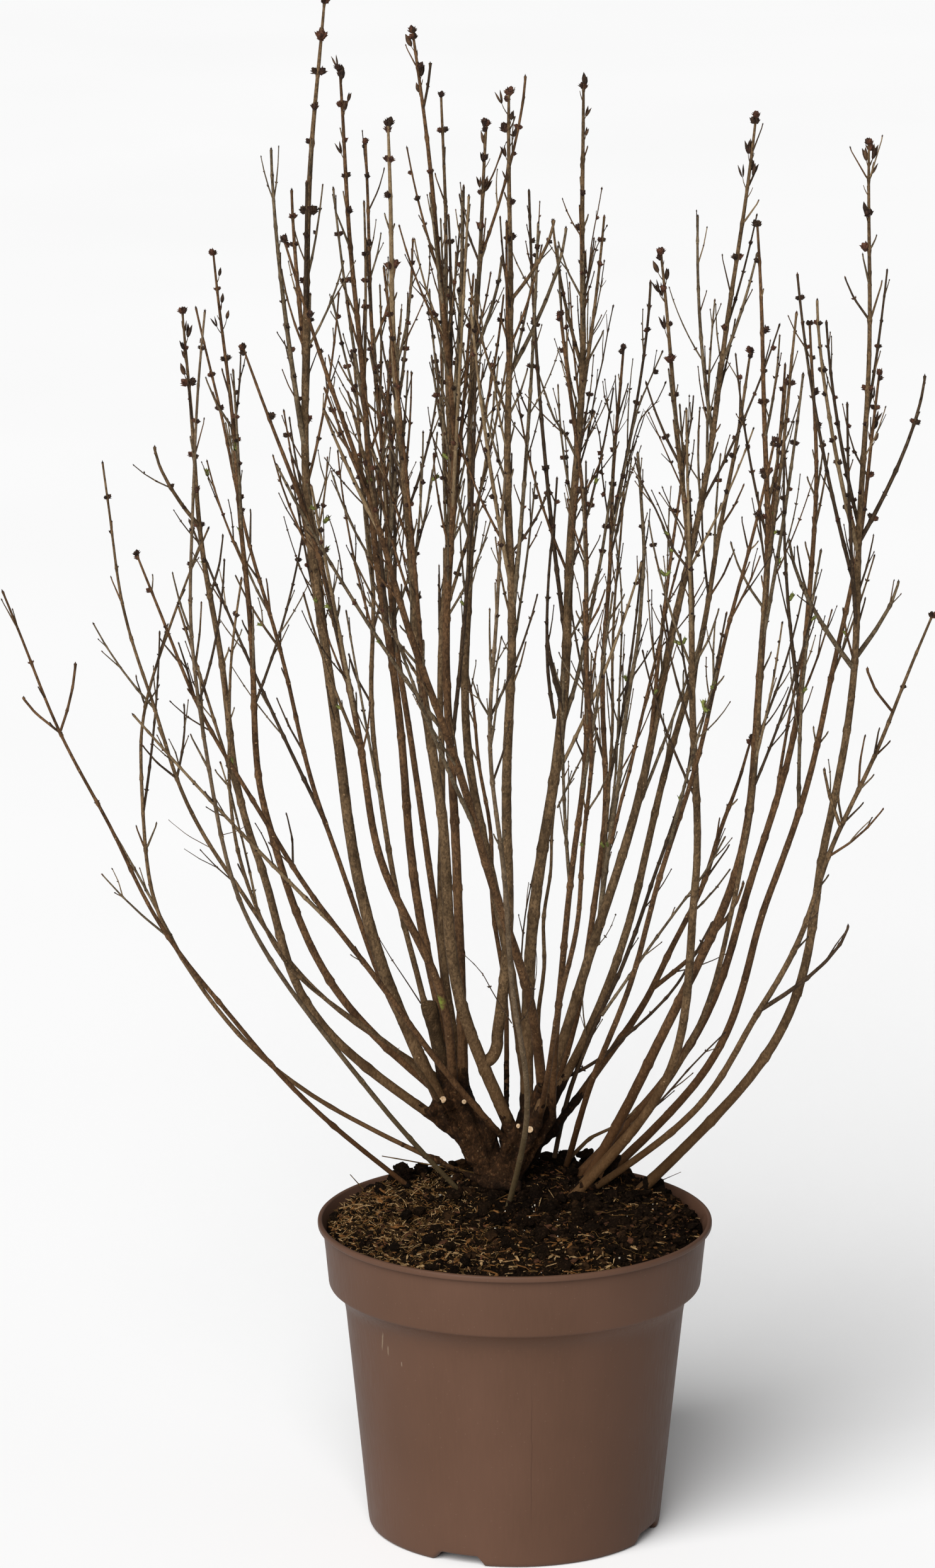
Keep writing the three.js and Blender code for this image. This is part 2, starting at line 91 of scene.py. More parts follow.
# ---- stems: the source's rows and rules ----
KNOTS = [0, 0.12, 0.35, 0.65, 1]
FAN = 1.8
TIP_GIRTH = 0.9
TAPER = 0.8
WANDER = 1.6
STEMS = [  # name, girth, foot, sweep, tip, bough
    ("left_01", 2.3, (-76, 40, SOIL_TOP), (-132, -215, -287), (-351, -60, 690), 0),
    ("left_02", 2.2, (-34, 56, 300), (-118, -204, -262), (-290, 90, 751), 0),
    ("left_03", 3.0, (-6, 12, 277), (-44, -111, -191), (-256, -120, 728), 0),
    ("left_04", 4.3, (-42, 24, 281), (-127, -180, -210), (-228, -20, 876), 0.5),
    ("left_05", 2.6, (-43, 55, 290), (-86, -135, -182), (-227, 180, 846), 0),
    ("left_06", 2.2, (-22, 16, 246), (-138, -240, -265), (-217, 110, 700), 0),
    ("left_07", 3.8, (-34, 45, 287), (-114, -174, -189), (-210, 70, 902), 0.5),
    ("left_08", 2.3, (-37, 20, SOIL_TOP), (-96, -184, -216), (-206, -190, 905), 0),
    ("left_09", 4.2, (-43, 22, 312), (-50, -95, -122), (-184, -95, 864), 0.5),
    ("left_10", 2.0, (-46, 16, 290), (-69, -159, -191), (-182, -230, 734), 0),
    ("left_11", 4.6, (20, 22, 306), (11, -28, -84), (-153, -200, 953), 0.45),
    ("middle_01", 4.8, (-46, 25, 290), (-88, -125, -146), (-131, 20, 1083), 0.5),
    ("middle_02", 3.6, (-41, 43, 312), (-61, -82, -105), (-122, 90, 1028), 0.5),
    ("middle_03", 2.4, (-52, 48, 312), (-67, -96, -103), (-116, 230, 805), 0),
    ("middle_04", 2.8, (-46, 52, 312), (-51, -75, -95), (-106, 190, 963), 0),
    ("middle_05", 4.6, (-1, 18, 282), (-34, -54, -77), (-87, -50, 1009), 0.5),
    ("middle_06", 3.8, (-37, 32, 312), (-38, -47, -45), (-71, 50, 1059), 0.5),
    ("middle_07", 2.8, (-37, 52, 312), (-50, -52, -47), (-52, 140, 1003), 0),
    ("middle_08", 2.0, (-6, 50, 290), (-5, -12, -21), (-36, 290, 569), 0),
    ("middle_09", 4.0, (13, 45, 280), (0, -31, -31), (-20, 240, 969), 0.5),
    ("middle_10", 2.2, (-5, -14, SOIL_TOP), (6, -2, -17), (-9, -270, 812), 0),
    ("middle_11", 4.4, (-19, 34, 300), (-9, -5, -5), (-6, -90, 1035), 0.5),
    ("middle_12", 2.6, (27, 24, 290), (28, 40, 48), (28, -150, 896), 0),
    ("middle_13", 1.9, (15, 60, 273), (18, 19, 24), (30, 200, 476), 0),
    ("middle_14", 2.2, (17, 10, 290), (22, 35, 47), (43, -230, 719), 0),
    ("middle_15", 4.8, (9, 35, 290), (9, 28, 43), (46, 40, 1022), 0.38),
    ("middle_16", 2.6, (18, 50, 276), (42, 62, 66), (78, 190, 815), 0),
    ("right_01", 3.8, (43, 18, SOIL_TOP), (101, 122, 117), (95, -130, 934), 0.5),
    ("right_02", 4.2, (49, 38, SOIL_TOP), (89, 153, 170), (162, -60, 942), 0.5),
    ("right_03", 4.2, (12, 16, 283), (41, 89, 132), (166, 70, 998), 0.5),
    ("right_04", 2.6, (36, 70, SOIL_TOP), (50, 84, 123), (167, -230, 826), 0),
    ("right_05", 3.6, (24, 52, 290), (59, 97, 137), (168, 170, 816), 0.5),
    ("right_06", 3.2, (30, 50, 277), (59, 105, 144), (174, 230, 519), 0),
    ("right_07", 2.3, (43, 31, SOIL_TOP), (102, 152, 167), (187, -100, 889), 0),
    ("right_08", 3.6, (42, 54, SOIL_TOP), (109, 170, 208), (207, 110, 846), 0.5),
    ("right_09", 4.0, (95, 45, SOIL_TOP), (173, 220, 239), (240, 0, 989), 0.48),
    ("right_10", 3.4, (63, 57, SOIL_TOP), (129, 181, 228), (255, 90, 814), 0.5),
    ("right_11", 3.0, (55, 30, SOIL_TOP), (113, 173, 222), (281, -100, 681), 0),
]
FORK_GIRTH = 0.72
FORK_FAN = 1.5
FORKS = {  # by stem: height share, tip
    "left_01": [(0.78, (-340, -29, 609)), (0.78, (-301, -79, 644))],
    "left_04": [(0.75, (-247, -41, 787))],
    "middle_01": [(0.61, (-167, -12, 987)), (0.69, (-155, 57, 949))],
    "middle_06": [(0.93, (-59, 35, 1040))],
    "middle_09": [(0.86, (8, 256, 1002)), (0.76, (-9, 200, 880))],
    "middle_11": [(0.81, (24, -114, 954)), (0.74, (33, -50, 939))],
    "middle_15": [(0.41, (22, 14, 644))],
    "middle_16": [(0.77, (96, 150, 870))],
    "right_06": [(0.32, (164, 108, 442))],
    "right_09": [(0.51, (188, -22, 718)), (0.52, (268, 48, 675)),
                 (0.62, (205, -22, 885)), (0.63, (283, 33, 823))],
    "right_11": [(0.85, (237, -116, 649)), (0.34, (229, -71, 457)), (0.66, (212, -57, 565))],
}
NODE_SPACING = 24
FIRST_TWIG = 0.42
TWIG_CHANCE = 0.23
TWIG_SHORT = 16
TWIG_LONG = 92
TWIG_GIRTH = 1.1
TWIG_LEAN = (0.42, 0.75)
TWIG_BOW = 0.32
TWIG_TIP = 0.55  # a twig's girth at its tip, as a share of its girth at the foot
TWIG_TURN = 0.5
TWIG_CLEAR = 1.2
STEM_SEED, TWIG_SEED = 7919, 104729
SIDES = ("left", "middle", "right")  # the parts of the crown that the names begin with


def random_from(seed):
    """The source's short sequence of numbers from 0 to 1 for a seed."""
    state = seed & 0xFFFFFFFF

    def draw():
        nonlocal state
        state = (state * 1664525 + 1013904223) & 0xFFFFFFFF
        return state / 2**32

    return draw


def through(knots, values, at):
    """A smooth curve through values at knots, read at an array of places."""
    knots, values, at = (np.asarray(one, float) for one in (knots, values, at))
    spans = np.diff(knots)
    slopes = np.diff(values) / spans
    inner = (slopes[:-1] * spans[1:] + slopes[1:] * spans[:-1]) / (spans[:-1] + spans[1:])
    bends = np.concatenate([
        [1.5 * slopes[0] - 0.5 * inner[0]], inner, [1.5 * slopes[-1] - 0.5 * inner[-1]]])
    i = np.clip(np.searchsorted(knots, at, side="left") - 1, 0, len(knots) - 2)
    s = (at - knots[i]) / spans[i]
    return ((2 * s**3 - 3 * s**2 + 1) * values[i] + (s**3 - 2 * s**2 + s) * spans[i] * bends[i]
            + (3 * s**2 - 2 * s**3) * values[i + 1] + (s**3 - s**2) * spans[i] * bends[i + 1])


class Limb:
    """A tapering limb: a path and a girth over shares from 0 at its foot to 1 at its tip."""

    def __init__(self, owner, path, girth, length):
        self.owner = owner
        self.side = owner.split("_")[0]
        self.path = path
        self.girth = girth
        self.length = length

    def at(self, share):
        return self.path(np.array([share]))[0]

    def girth_at(self, share):
        return float(self.girth(np.array([share]))[0])

    def frames(self, shares):
        """Points on the path, its direction there, and two directions across it."""
        along = unit(self.path(shares + 0.001) - self.path(shares - 0.001))
        return self.path(shares), along, *across(along)


def unit(vectors):
    return vectors / np.linalg.norm(vectors, axis=-1, keepdims=True)


def across(along):
    """Two directions across a limb, at right angles to each other."""
    side = unit(np.cross([0.0, 1.0, 0.0], along))
    return side, np.cross(side, along)


def between(ends, share):
    return ends[0] + (ends[1] - ends[0]) * share


def taper_to(foot, tip):
    return lambda s: between((foot, tip), np.clip(s, 0, 1))


def stem_limb(row, index):
    name, girth, foot, sweep, tip, _ = row
    values = [foot[0], *sweep, tip[0]]
    draw = random_from(STEM_SEED * (index + 1))
    phases = [draw(), draw()]

    def wander(t, phase):
        return WANDER * 4 * t * (1 - t) * np.sin(2 * np.pi * (3 * t + phase))

    def path(t):
        fan = 1 - np.maximum(1 - t, 0) ** FAN
        return np.stack([
            through(KNOTS, values, t) + wander(t, phases[0]),
            foot[1] + (tip[1] - foot[1]) * fan + wander(t, phases[1]),
            foot[2] + (tip[2] - foot[2]) * t,
        ], axis=-1)

    def girth_over(t):
        return TIP_GIRTH + (girth - TIP_GIRTH) * np.maximum(1 - t, 0) ** TAPER

    return Limb(name, path, girth_over, tip[2] - foot[2])


def fork_limb(stem, share, tip):
    base = stem.at(share)
    reach = np.array(tip, float) - base

    def path(s):
        fan = 1 - np.maximum(1 - s, 0) ** FORK_FAN
        return base + reach * np.stack([fan, fan, s], axis=-1)

    foot = FORK_GIRTH * stem.girth_at(share)
    return Limb(stem.owner, path, taper_to(foot, TIP_GIRTH), float(np.linalg.norm(reach)))


def out_at(side, away, turn):
    """The direction out of a limb at a turn about it."""
    return side * math.cos(turn) + away * math.sin(turn)


def twig_limb(stem, share, turn, lean, length, girth):
    """A twig on one side of a node: it leaves its stem at a lean and turns up again."""
    base = stem.at(share)
    along = unit(stem.at(share + 0.01) - base)
    out = out_at(*across(along), turn)

    def path(s):
        s = np.asarray(s)[..., None]
        return (base + along * (length * math.cos(lean) * s)
                + out * (length * math.sin(lean) * (s - TWIG_BOW * s * np.abs(s))))

    return Limb(stem.owner, path, taper_to(girth, TWIG_TIP * girth), length)


class Pieces:
    """Straight pieces of limbs, for measuring how near another limb comes."""

    def __init__(self):
        self.a, self.b, self.girth, self.owner = [], [], [], []

    def add(self, limb, steps):
        shares = np.arange(steps + 1) / steps
        points = limb.path(shares)
        self.a += list(points[:-1])
        self.b += list(points[1:])
        self.girth += list(limb.girth(shares[:-1]))
        self.owner += [limb.owner] * steps

    def clear_of(self, limb, steps, gap):
        """Whether a limb keeps a gap from every piece of another owner."""
        others = np.array([owner != limb.owner for owner in self.owner])
        a, b = np.array(self.a)[others], np.array(self.b)[others]
        girth = np.array(self.girth)[others]
        shares = np.arange(steps + 1) / steps
        points = limb.path(shares)
        own = limb.girth(shares[:-1])
        return all(
            np.all(distances(points[i], points[i + 1], a, b) > own[i] + girth + gap)
            for i in range(steps))


def distances(p, q, a, b):
    """Closest distances between the straight piece p-q and the pieces a-b."""
    u = q - p
    v = b - a
    w = p - a
    uu = u @ u
    uv = v @ u
    vv = np.sum(v * v, axis=1)
    wu = w @ u
    wv = np.sum(w * v, axis=1)
    slack = uu * vv - uv * uv
    s = np.where(slack > 1e-9, np.clip((uv * wv - vv * wu) / np.maximum(slack, 1e-9), 0, 1), 0)
    t = np.clip((uv * s + wv) / vv, 0, 1)
    s = np.clip((uv * t - wu) / uu, 0, 1)
    return np.linalg.norm(w + s[:, None] * u - t[:, None] * v, axis=1)


def pairs(nodes):
    """Each node between a limb's ends, with each of its two sides."""
    return product(range(1, nodes), (0, 1))


def main_twigs(stem, index, bough, pieces):
    """The source's twigs of a stem, with the node and side that each one stands at."""
    draw = random_from(TWIG_SEED * (index + 1))
    nodes = int(stem.length // NODE_SPACING)
    first = max(FIRST_TWIG, bough + 0.02)
    twigs = {}
    for node, half in pairs(nodes):
        chance, reach, tilt, spread = draw(), draw(), draw(), draw()
        share = node / nodes
        if share < first or chance > TWIG_CHANCE:
            continue
        length = between((TWIG_SHORT, TWIG_LONG), reach**2) * (1.35 - share)
        turn = pair_turn(index, node, half) + (spread - 0.5) * TWIG_TURN
        girth = min(TWIG_GIRTH, 0.7 * stem.girth_at(share)) * (0.75 + 0.25 * length / TWIG_LONG)
        twig = twig_limb(stem, share, turn, between(TWIG_LEAN, tilt), length, girth)
        if pieces.clear_of(twig, 3, TWIG_CLEAR):
            twigs[node, half] = twig
            pieces.add(twig, 3)
    return twigs


def pair_turn(index, node, half):
    """The turn of one side of a node's pair: each pair stands across the last."""
    return index + (node % 2) * (math.pi / 2) + half * math.pi


def grow_frame():
    """The stems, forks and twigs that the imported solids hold."""
    stems = [stem_limb(row, index) for index, row in enumerate(STEMS)]
    named = {stem.owner: stem for stem in stems}
    forks = [fork_limb(named[owner], *row) for owner, rows in FORKS.items() for row in rows]
    pieces = Pieces()
    for stem in stems:
        pieces.add(stem, 16)
    for fork in forks:
        pieces.add(fork, 4)
    twigs = [main_twigs(stem, index, STEMS[index][5], pieces) for index, stem in enumerate(stems)]
    return stems, forks, twigs, pieces


# ---- meshes ----
def round_angles(sides):
    return 2 * np.pi * np.arange(sides) / sides


def rings_about_z(radii, heights, sides):
    """Rings of points (n, sides, 3) about Z, from radii (n) and heights (n) or (n, sides)."""
    angles = round_angles(sides)
    radii = np.asarray(radii, float)[:, None]
    heights = np.asarray(heights, float).reshape(len(radii), -1)
    return np.stack(np.broadcast_arrays(radii * np.cos(angles), radii * np.sin(angles), heights), -1)


def grid_faces(rings, sides):
    """Faces of a grid of rings of points, each ring closed on itself."""
    ring, side = np.meshgrid(np.arange(rings - 1), np.arange(sides), indexing="ij")
    here, there = ring * sides + side, ring * sides + (side + 1) % sides
    return np.stack([here, there, there + sides, here + sides], axis=-1).reshape(-1, 4)


def halves(quads):
    """Two triangles for each face of four corners."""
    return np.concatenate([quads[:, [0, 1, 2]], quads[:, [0, 2, 3]]])


def end_caps(rings, sides, inward=False):
    """Fans of triangles from a grid's first and last ring to two points that follow the grid."""
    here = np.arange(sides)
    there = (here + 1) % sides
    last, middle = (rings - 1) * sides, np.full(sides, rings * sides)
    fans = [(there, here, middle), (here + last, there + last, middle + 1)]
    faces = np.concatenate([np.stack(fan, -1) for fan in fans])
    return faces[:, [1, 0, 2]] if inward else faces


def joined(templates):
    """Several templates' points and faces as one."""
    steps = np.cumsum([0, *(len(points) for points, _ in templates)])
    return (np.concatenate([points for points, _ in templates]),
            np.concatenate([np.asarray(faces) + step for (_, faces), step in zip(templates, steps)]))


class Shape:
    """Points and faces gathered for one mesh. A face's tone picks one of its materials."""

    def __init__(self):
        self.count = 0
        self.points, self.faces, self.tones = [], [], []

    def add(self, points, faces, tone=0):
        """Adds points (n, 3) and faces (m, 3 or 4), all of one tone."""
        points, faces = np.asarray(points, float), np.asarray(faces, int)
        self.points.append(points)
        self.faces.append(faces + self.count)
        self.tones.append(np.full(len(faces), tone))
        self.count += len(points)

    def add_rings(self, rings, ends, tone=0, inward=False):
        """Adds a closed skin over rings of points (n, sides, 3), with a point at each end."""
        quads = grid_faces(*rings.shape[:2])
        caps = end_caps(*rings.shape[:2], inward) + self.count
        points = np.concatenate([rings.reshape(-1, 3), ends])
        self.add(points, quads[:, ::-1] if inward else quads, tone)
        self.faces.append(caps)
        self.tones.append(np.full(len(caps), tone))

    def copies(self, template, places, bases, tones):
        """Adds a copy of a template's points and faces at each place, turned and sized by a basis."""
        points, faces = template
        spread = np.einsum("nij,mj->nmi", bases, points) + places[:, None]
        steps = np.arange(len(places))[:, None, None] * len(points)
        self.points.append(spread.reshape(-1, 3))
        self.faces.append((faces[None] + steps + self.count).reshape(-1, faces.shape[1]))
        self.tones.append(np.repeat(tones, len(faces)))
        self.count += len(places) * len(points)

    def build(self, name, materials, smooth=True):
        """Makes the object, in metres."""
        mesh = bpy.data.meshes.new(name)
        sizes = np.concatenate([np.full(len(faces), faces.shape[1]) for faces in self.faces])
        corners = np.concatenate([faces.ravel() for faces in self.faces])
        mesh.vertices.add(self.count)
        mesh.vertices.foreach_set("co", (np.concatenate(self.points) * MM).ravel())
        mesh.loops.add(len(corners))
        mesh.loops.foreach_set("vertex_index", corners)
        mesh.polygons.add(len(sizes))
        for name_of, values in (
                ("loop_start", np.cumsum(sizes) - sizes), ("loop_total", sizes),
                ("material_index", np.concatenate(self.tones)), ("use_smooth", np.full(len(sizes), smooth))):
            mesh.polygons.foreach_set(name_of, values)
        for material in materials:
            mesh.materials.append(material)
        mesh.update(calc_edges=True)
        mesh.validate()
        return place_in_scene(name, mesh)


def place_in_scene(name, data):
    placed = bpy.data.objects.new(name, data)
    bpy.context.collection.objects.link(placed)
    return placed


def add_tube(shape, limb, shares, sides, girth, tone=0):
    """A closed tube along a limb: girth is an array over its rings, or over rings and sides."""
    centre, along, side, away = limb.frames(shares)
    angles = round_angles(sides)
    girth = girth[:, None] if girth.ndim == 1 else girth
    out = (np.cos(angles)[None, :, None] * side[:, None]
           + np.sin(angles)[None, :, None] * away[:, None])
    ends = [centre[0], centre[-1] + along[-1] * float(np.mean(girth[-1])) * 0.5]
    shape.add_rings(centre[:, None] + girth[..., None] * out, ends, tone)


def lathe_template(profile, sides):
    """Points and faces of a small closed form turned about +Z from (height, radius) pairs."""
    heights, radii = np.array(profile, float).T
    return rings_about_z(radii, heights, sides).reshape(-1, 3), halves(grid_faces(len(profile), sides))


def basis(direction, turn_hint, length, width):
    """A basis that sets a template's +Z along a direction, with a length and a width."""
    up = unit(np.asarray(direction, float))
    side = unit(np.cross(turn_hint, up) + 1e-9)
    return np.stack([side * width, np.cross(up, side) * width, up * length], axis=-1)


# ---- finer growth: what the solids leave out, each kind by the same rule ----
GROWTH = (  # chance at a free side of a node, height shares, lengths, girth, leans
    (0.1, (0.3, 0.76), (130, 330), 1.6, (0.1, 0.34)),
    (0.2, (0.42, 0.95), (40, 150), 1.05, (0.18, 0.55)),
    (0.1, (0.3, 1.0), (9, 45), 0.65, (0.38, 0.75)),
    (0.04, (0.08, 0.5), (12, 46), 0.34, (0.5, 1.25)),
)
SHOOT_SEED, BUD_SEED, FRUIT_SEED, TONE_SEED = 15485863, 6700417, 49979687, 1299709
CROWD = 0.36  # how thickly twigs grow at the crown's edge
CROWDS = (  # where they stand closer or wider: middle, reach across and up, and by how much
    ((-5, 765), (155, 165), 2.9),
    ((75, 832), (72, 85), 2.6),
    ((-235, 560), (90, 90), -0.3),
)
SLIM = {"left": 0.8, "middle": 0.98, "right": 0.91}  # the stems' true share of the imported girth
SIDE_REACH = 40  # mm by which a shoot may pass the box of its mass of twigs, inside the bush
TOP_ROOM = 70  # mm by which a shoot stays below the top of its mass
SHORTENED = (1, 0.7, 0.45)  # shares of its length that a shoot tries, until it finds room
SPRIG_SPACING = 17  # between the nodes of a twig
SPRIG_CHANCE = 0.24
SPRIG_LENGTH = (6, 48)
SPRIG_LEAN = (0.22, 0.6)
SPRIG_GIRTH = 0.55
SPRIG_CLEAR = 0.4
LOW_SHARE = 0.42  # below it only every other node of a stem shows
# The last tone is a darker, shaded copy of the bark: painted shade dealt out to many shoots.
BROWN, GREY, RED, PALE, WEATHERED, PAINTED_SHADE = range(6)  # tones of bark
WEATHERED_STEMS = ("middle_10", "left_08")
PALE_TIPS = ("middle_05",)  # stems with a dead, pale top
PALE_FROM = 0.72  # the height share at which that top begins
CAPSULE_TIPS = (
    "right_09", "right_01", "right_10", "middle_06", "middle_09", "middle_15", "middle_02",
    "middle_11", "left_04", "left_07", "right_03")
STRONG_TIP = 4.2  # size of the tip bud above which a cluster stands there
BUD_SPACING = 10  # between the nodes of a sprig
BUD_GIRTH = 0.4  # a thinner limb has no buds
BUD_SHORTEST = 1.1
BUD_GAPS = (0.2, 0.14)  # chances that a pair or a single bud is missing
BUD_GROWTH = (420, 330)  # buds are small below this height, and full-grown that much higher
LARGE_BUD = 3
SCAR_SHARE = 0.8  # leaf scars show on a stem below this share
GREEN_CHANCE = 0.07
GREEN_HEIGHTS = (430, 780)  # between which some buds break green

# Thin shoots read off the photo, by the stem that they leave: the girth, the depth of the
# tip, and the places in the photo's pixels that a shoot passes.
TRACED = {
    "left_09": [
        (0.5, -10, [(668, 1593), (640, 1550), (620, 1520), (602, 1490)])],
    "middle_10": [
        (0.5, -30, [(812, 1624), (800, 1605), (782, 1575), (765, 1545), (736, 1515)]),
        (0.4, -20, [(814, 1630), (832, 1615), (845, 1580), (852, 1530), (850, 1500)])],
    "middle_12": [
        (0.6, -60, [(922, 1140), (927, 1050), (926, 1000), (921, 950), (906, 893)]),
        (0.6, -20, [(930, 1190), (936, 1110), (945, 1040), (952, 1000), (960, 960)])],
    "middle_15": [
        (0.65, 60, [(826, 1560), (834, 1450), (848, 1380), (858, 1330), (864, 1290)]),
        (1.6, 70, [(895, 1145), (915, 1080), (930, 1010), (942, 950), (955, 880), (972, 760)]),
        (1.3, -10, [(880, 1140), (871, 1080), (868, 1000), (872, 900), (880, 820), (884, 760)]),
        (0.8, 20, [(885, 1282), (905, 1240), (920, 1210), (930, 1190), (948, 1158)]),
        (0.7, 60, [(920, 740), (934, 690), (944, 627), (956, 575), (966, 520), (973, 487)]),
        (0.6, 10, [(924, 580), (933, 550), (941, 516), (951, 470), (959, 415)]),
        (0.6, 50, [(926, 490), (936, 415), (941, 372), (949, 335), (955, 300)]),
        (0.5, 20, [(926, 480), (935, 440), (950, 385), (963, 359)]),
        (0.6, 0, [(917, 720), (926, 669), (935, 635), (939, 601), (942, 565)]),
        (0.8, 70, [(920, 640), (911, 560), (907, 500), (904, 450)]),
        (0.7, 20, [(918, 650), (903, 590), (899, 520), (897, 478)]),
        (1.0, 90, [(914, 725), (897, 690), (882, 669), (869, 635), (854, 590)])],
    "middle_16": [
        (1.3, 150, [(955, 1420), (962, 1320), (967, 1240), (972, 1150), (972, 1050), (976, 950),
            (985, 850), (990, 780)]),
        (0.9, 60, [(965, 1320), (976, 1240), (981, 1150), (985, 1050), (987, 980), (985, 920), (978, 860),
            (972, 800)]),
        (0.5, 60, [(953, 1180), (948, 1110), (936, 1030), (925, 1010), (897, 985)]),
        (0.8, 90, [(980, 1112), (1000, 1080), (1020, 1052), (1045, 1012), (1053, 1000)]),
        (0.5, 150, [(975, 700), (966, 650), (960, 603)]),
        (0.6, 140, [(971, 790), (977, 699), (990, 652), (996, 622)]),
        (0.7, 120, [(970, 850), (956, 754), (951, 690), (941, 655)]),
        (0.9, 120, [(970, 860), (985, 780), (998, 711), (1013, 648), (1036, 593), (1051, 559)]),
        (0.7, 150, [(970, 880), (985, 810), (1000, 725), (1024, 655), (1040, 640), (1056, 608)])],
    "right_01": [
        (0.9, -60, [(1094, 905), (1062, 860), (1047, 821), (1032, 792), (1015, 758), (1008, 728)]),
        (0.6, -140, [(1092, 880), (1062, 804), (1047, 783)]),
        (0.6, -90, [(1083, 775), (1062, 728), (1045, 690), (1030, 656)]),
        (0.5, -110, [(1082, 750), (1091, 694), (1094, 629)])],
    "right_02": [
        (0.9, 20, [(1000, 1785), (1030, 1765), (1060, 1735), (1095, 1695), (1150, 1640)])],
    "right_03": [
        (1.9, 120, [(948, 1500), (956, 1420), (968, 1330), (982, 1240), (990, 1160), (1000, 1090),
            (1012, 1020), (1018, 950), (1022, 880), (1018, 800), (1012, 720)]),
        (1.3, 60, [(970, 1340), (985, 1275), (1000, 1220), (1016, 1150), (1030, 1090), (1042, 1040),
            (1062, 950), (1078, 890), (1090, 840)]),
        (0.6, 40, [(1045, 1082), (1036, 1030), (1031, 980), (1027, 900), (1025, 870)]),
        (0.4, -10, [(948, 1502), (965, 1480), (977, 1452)])],
    "right_04": [
        (1.8, 90, [(880, 1838), (905, 1730), (935, 1650), (957, 1600), (985, 1540), (1012, 1470),
            (1037, 1395), (1062, 1325), (1092, 1225), (1102, 1150)]),
        (1.2, 40, [(955, 1612), (1000, 1548), (1030, 1505), (1070, 1450), (1125, 1375), (1150, 1330)])],
    "right_06": [
        (1.4, 20, [(893, 1712), (950, 1682), (990, 1647), (1028, 1614), (1075, 1562), (1100, 1520),
            (1130, 1465)])],
    "right_08": [
        (1.6, 60, [(905, 1838), (940, 1805), (975, 1788), (1010, 1762)])],
}
FLOOR_REACH = 30000  # from the middle to the floor's sides
SKY_STRENGTH = 0.2
KEY_STRENGTH = 4.62
KEY_SPREAD = 55  # degrees over which the light spreads, which softens its shadows
KEY_TURN = (54, 0, -25)
PHOTO = (1484, 2489)
LENS = 152.37
SENSOR = 36
CAMERA = (-33.5, -4500, 1621)
CAMERA_DOWN = 13.5  # degrees


def seen_at(points):
    """Where in the photo's pixels places (n, 3) show."""
    down, focus = math.radians(CAMERA_DOWN), LENS / SENSOR * PHOTO[1]
    x, y, z = (points - CAMERA).T
    ahead = y * math.cos(down) - z * math.sin(down)
    up = y * math.sin(down) + z * math.cos(down)
    return np.stack([PHOTO[0] / 2 + focus * x / ahead, PHOTO[1] / 2 - focus * up / ahead], -1)


def place_of(u, v, depth):
    """The places at given depths that show at places in the photo."""
    down, focus = math.radians(CAMERA_DOWN), LENS / SENSOR * PHOTO[1]
    right, up = (u - PHOTO[0] / 2) / focus, (PHOTO[1] / 2 - v) / focus
    away = (depth - CAMERA[1]) / (math.cos(down) + up * math.sin(down))
    return np.stack([CAMERA[0] + away * right, depth,
                     CAMERA[2] + away * (up * math.cos(down) - math.sin(down))], -1)


def traced_limb(stem, girth, depth, points):
    """A shoot that shows in the photo along the points, and starts at its stem's depth."""
    points = np.array(points, float)
    track = stem.path(np.linspace(0, 1, 300))
    near = np.argmin(np.hypot(*(seen_at(track) - points[0]).T))
    steps = np.concatenate([[0], np.cumsum(np.hypot(*np.diff(points, axis=0).T))])
    knots, first = steps / steps[-1], track[near][1]

    def path(s):
        u, v = (through(knots, points[:, axis], s) for axis in (0, 1))
        return place_of(u, v, between((first, depth), s))

    length = float(np.linalg.norm(path(np.array([1.0]))[0] - path(np.array([0.0]))[0]))
    return Limb(stem.owner, path, taper_to(girth, TWIG_TIP * girth), length)


def crowding(place):
    crowd = CROWD
    for middle, reach, more in CROWDS:
        off = (place[[0, 2]] - middle) / reach
        crowd += more * math.exp(-off @ off)
    return crowd


def finer_shoots(stem, index, own, pieces):
    """Shoots at the nodes that the main twigs leave free, inside the reach of their mass."""
    draw = random_from(SHOOT_SEED * (index + 1))
    nodes = int(stem.length // NODE_SPACING)
    limbs = np.concatenate([limb.path(np.linspace(0, 1, 9)) for limb in [stem, *own.values()]])
    low = np.maximum(limbs.min(axis=0) - SIDE_REACH, np.array(cad_box[0]) / MM)
    high = np.minimum(limbs.max(axis=0) + (SIDE_REACH, SIDE_REACH, -TOP_ROOM), np.array(cad_box[1]) / MM)
    shoots = {}
    for node, half in pairs(nodes):
        pick, reach, tilt, spread_by = draw(), draw(), draw(), draw()
        share = node / nodes
        crowd = crowding(stem.at(share))
        for chance, shares, lengths, girth, leans in GROWTH:
            pick -= chance * crowd
            if pick < 0:
                break
        if pick >= 0 or not shares[0] < share < shares[1] or (node, half) in own:
            continue
        length = min(between(lengths, reach**1.4), (1.02 - share) * stem.length)
        turn = pair_turn(index, node, half) + (spread_by - 0.5) * TWIG_TURN
        girth = min(girth, 0.72 * stem.girth_at(share)) * (0.8 + 0.2 * reach)
        for shorter in SHORTENED:
            shoot = twig_limb(stem, share, turn, between(leans, tilt), length * shorter, girth)
            end = shoot.at(1.0)
            if np.all(end > low) and np.all(end < high) and pieces.clear_of(shoot, 4, SPRIG_CLEAR):
                shoots[node, half] = shoot
                pieces.add(shoot, 4)
                break
    return shoots


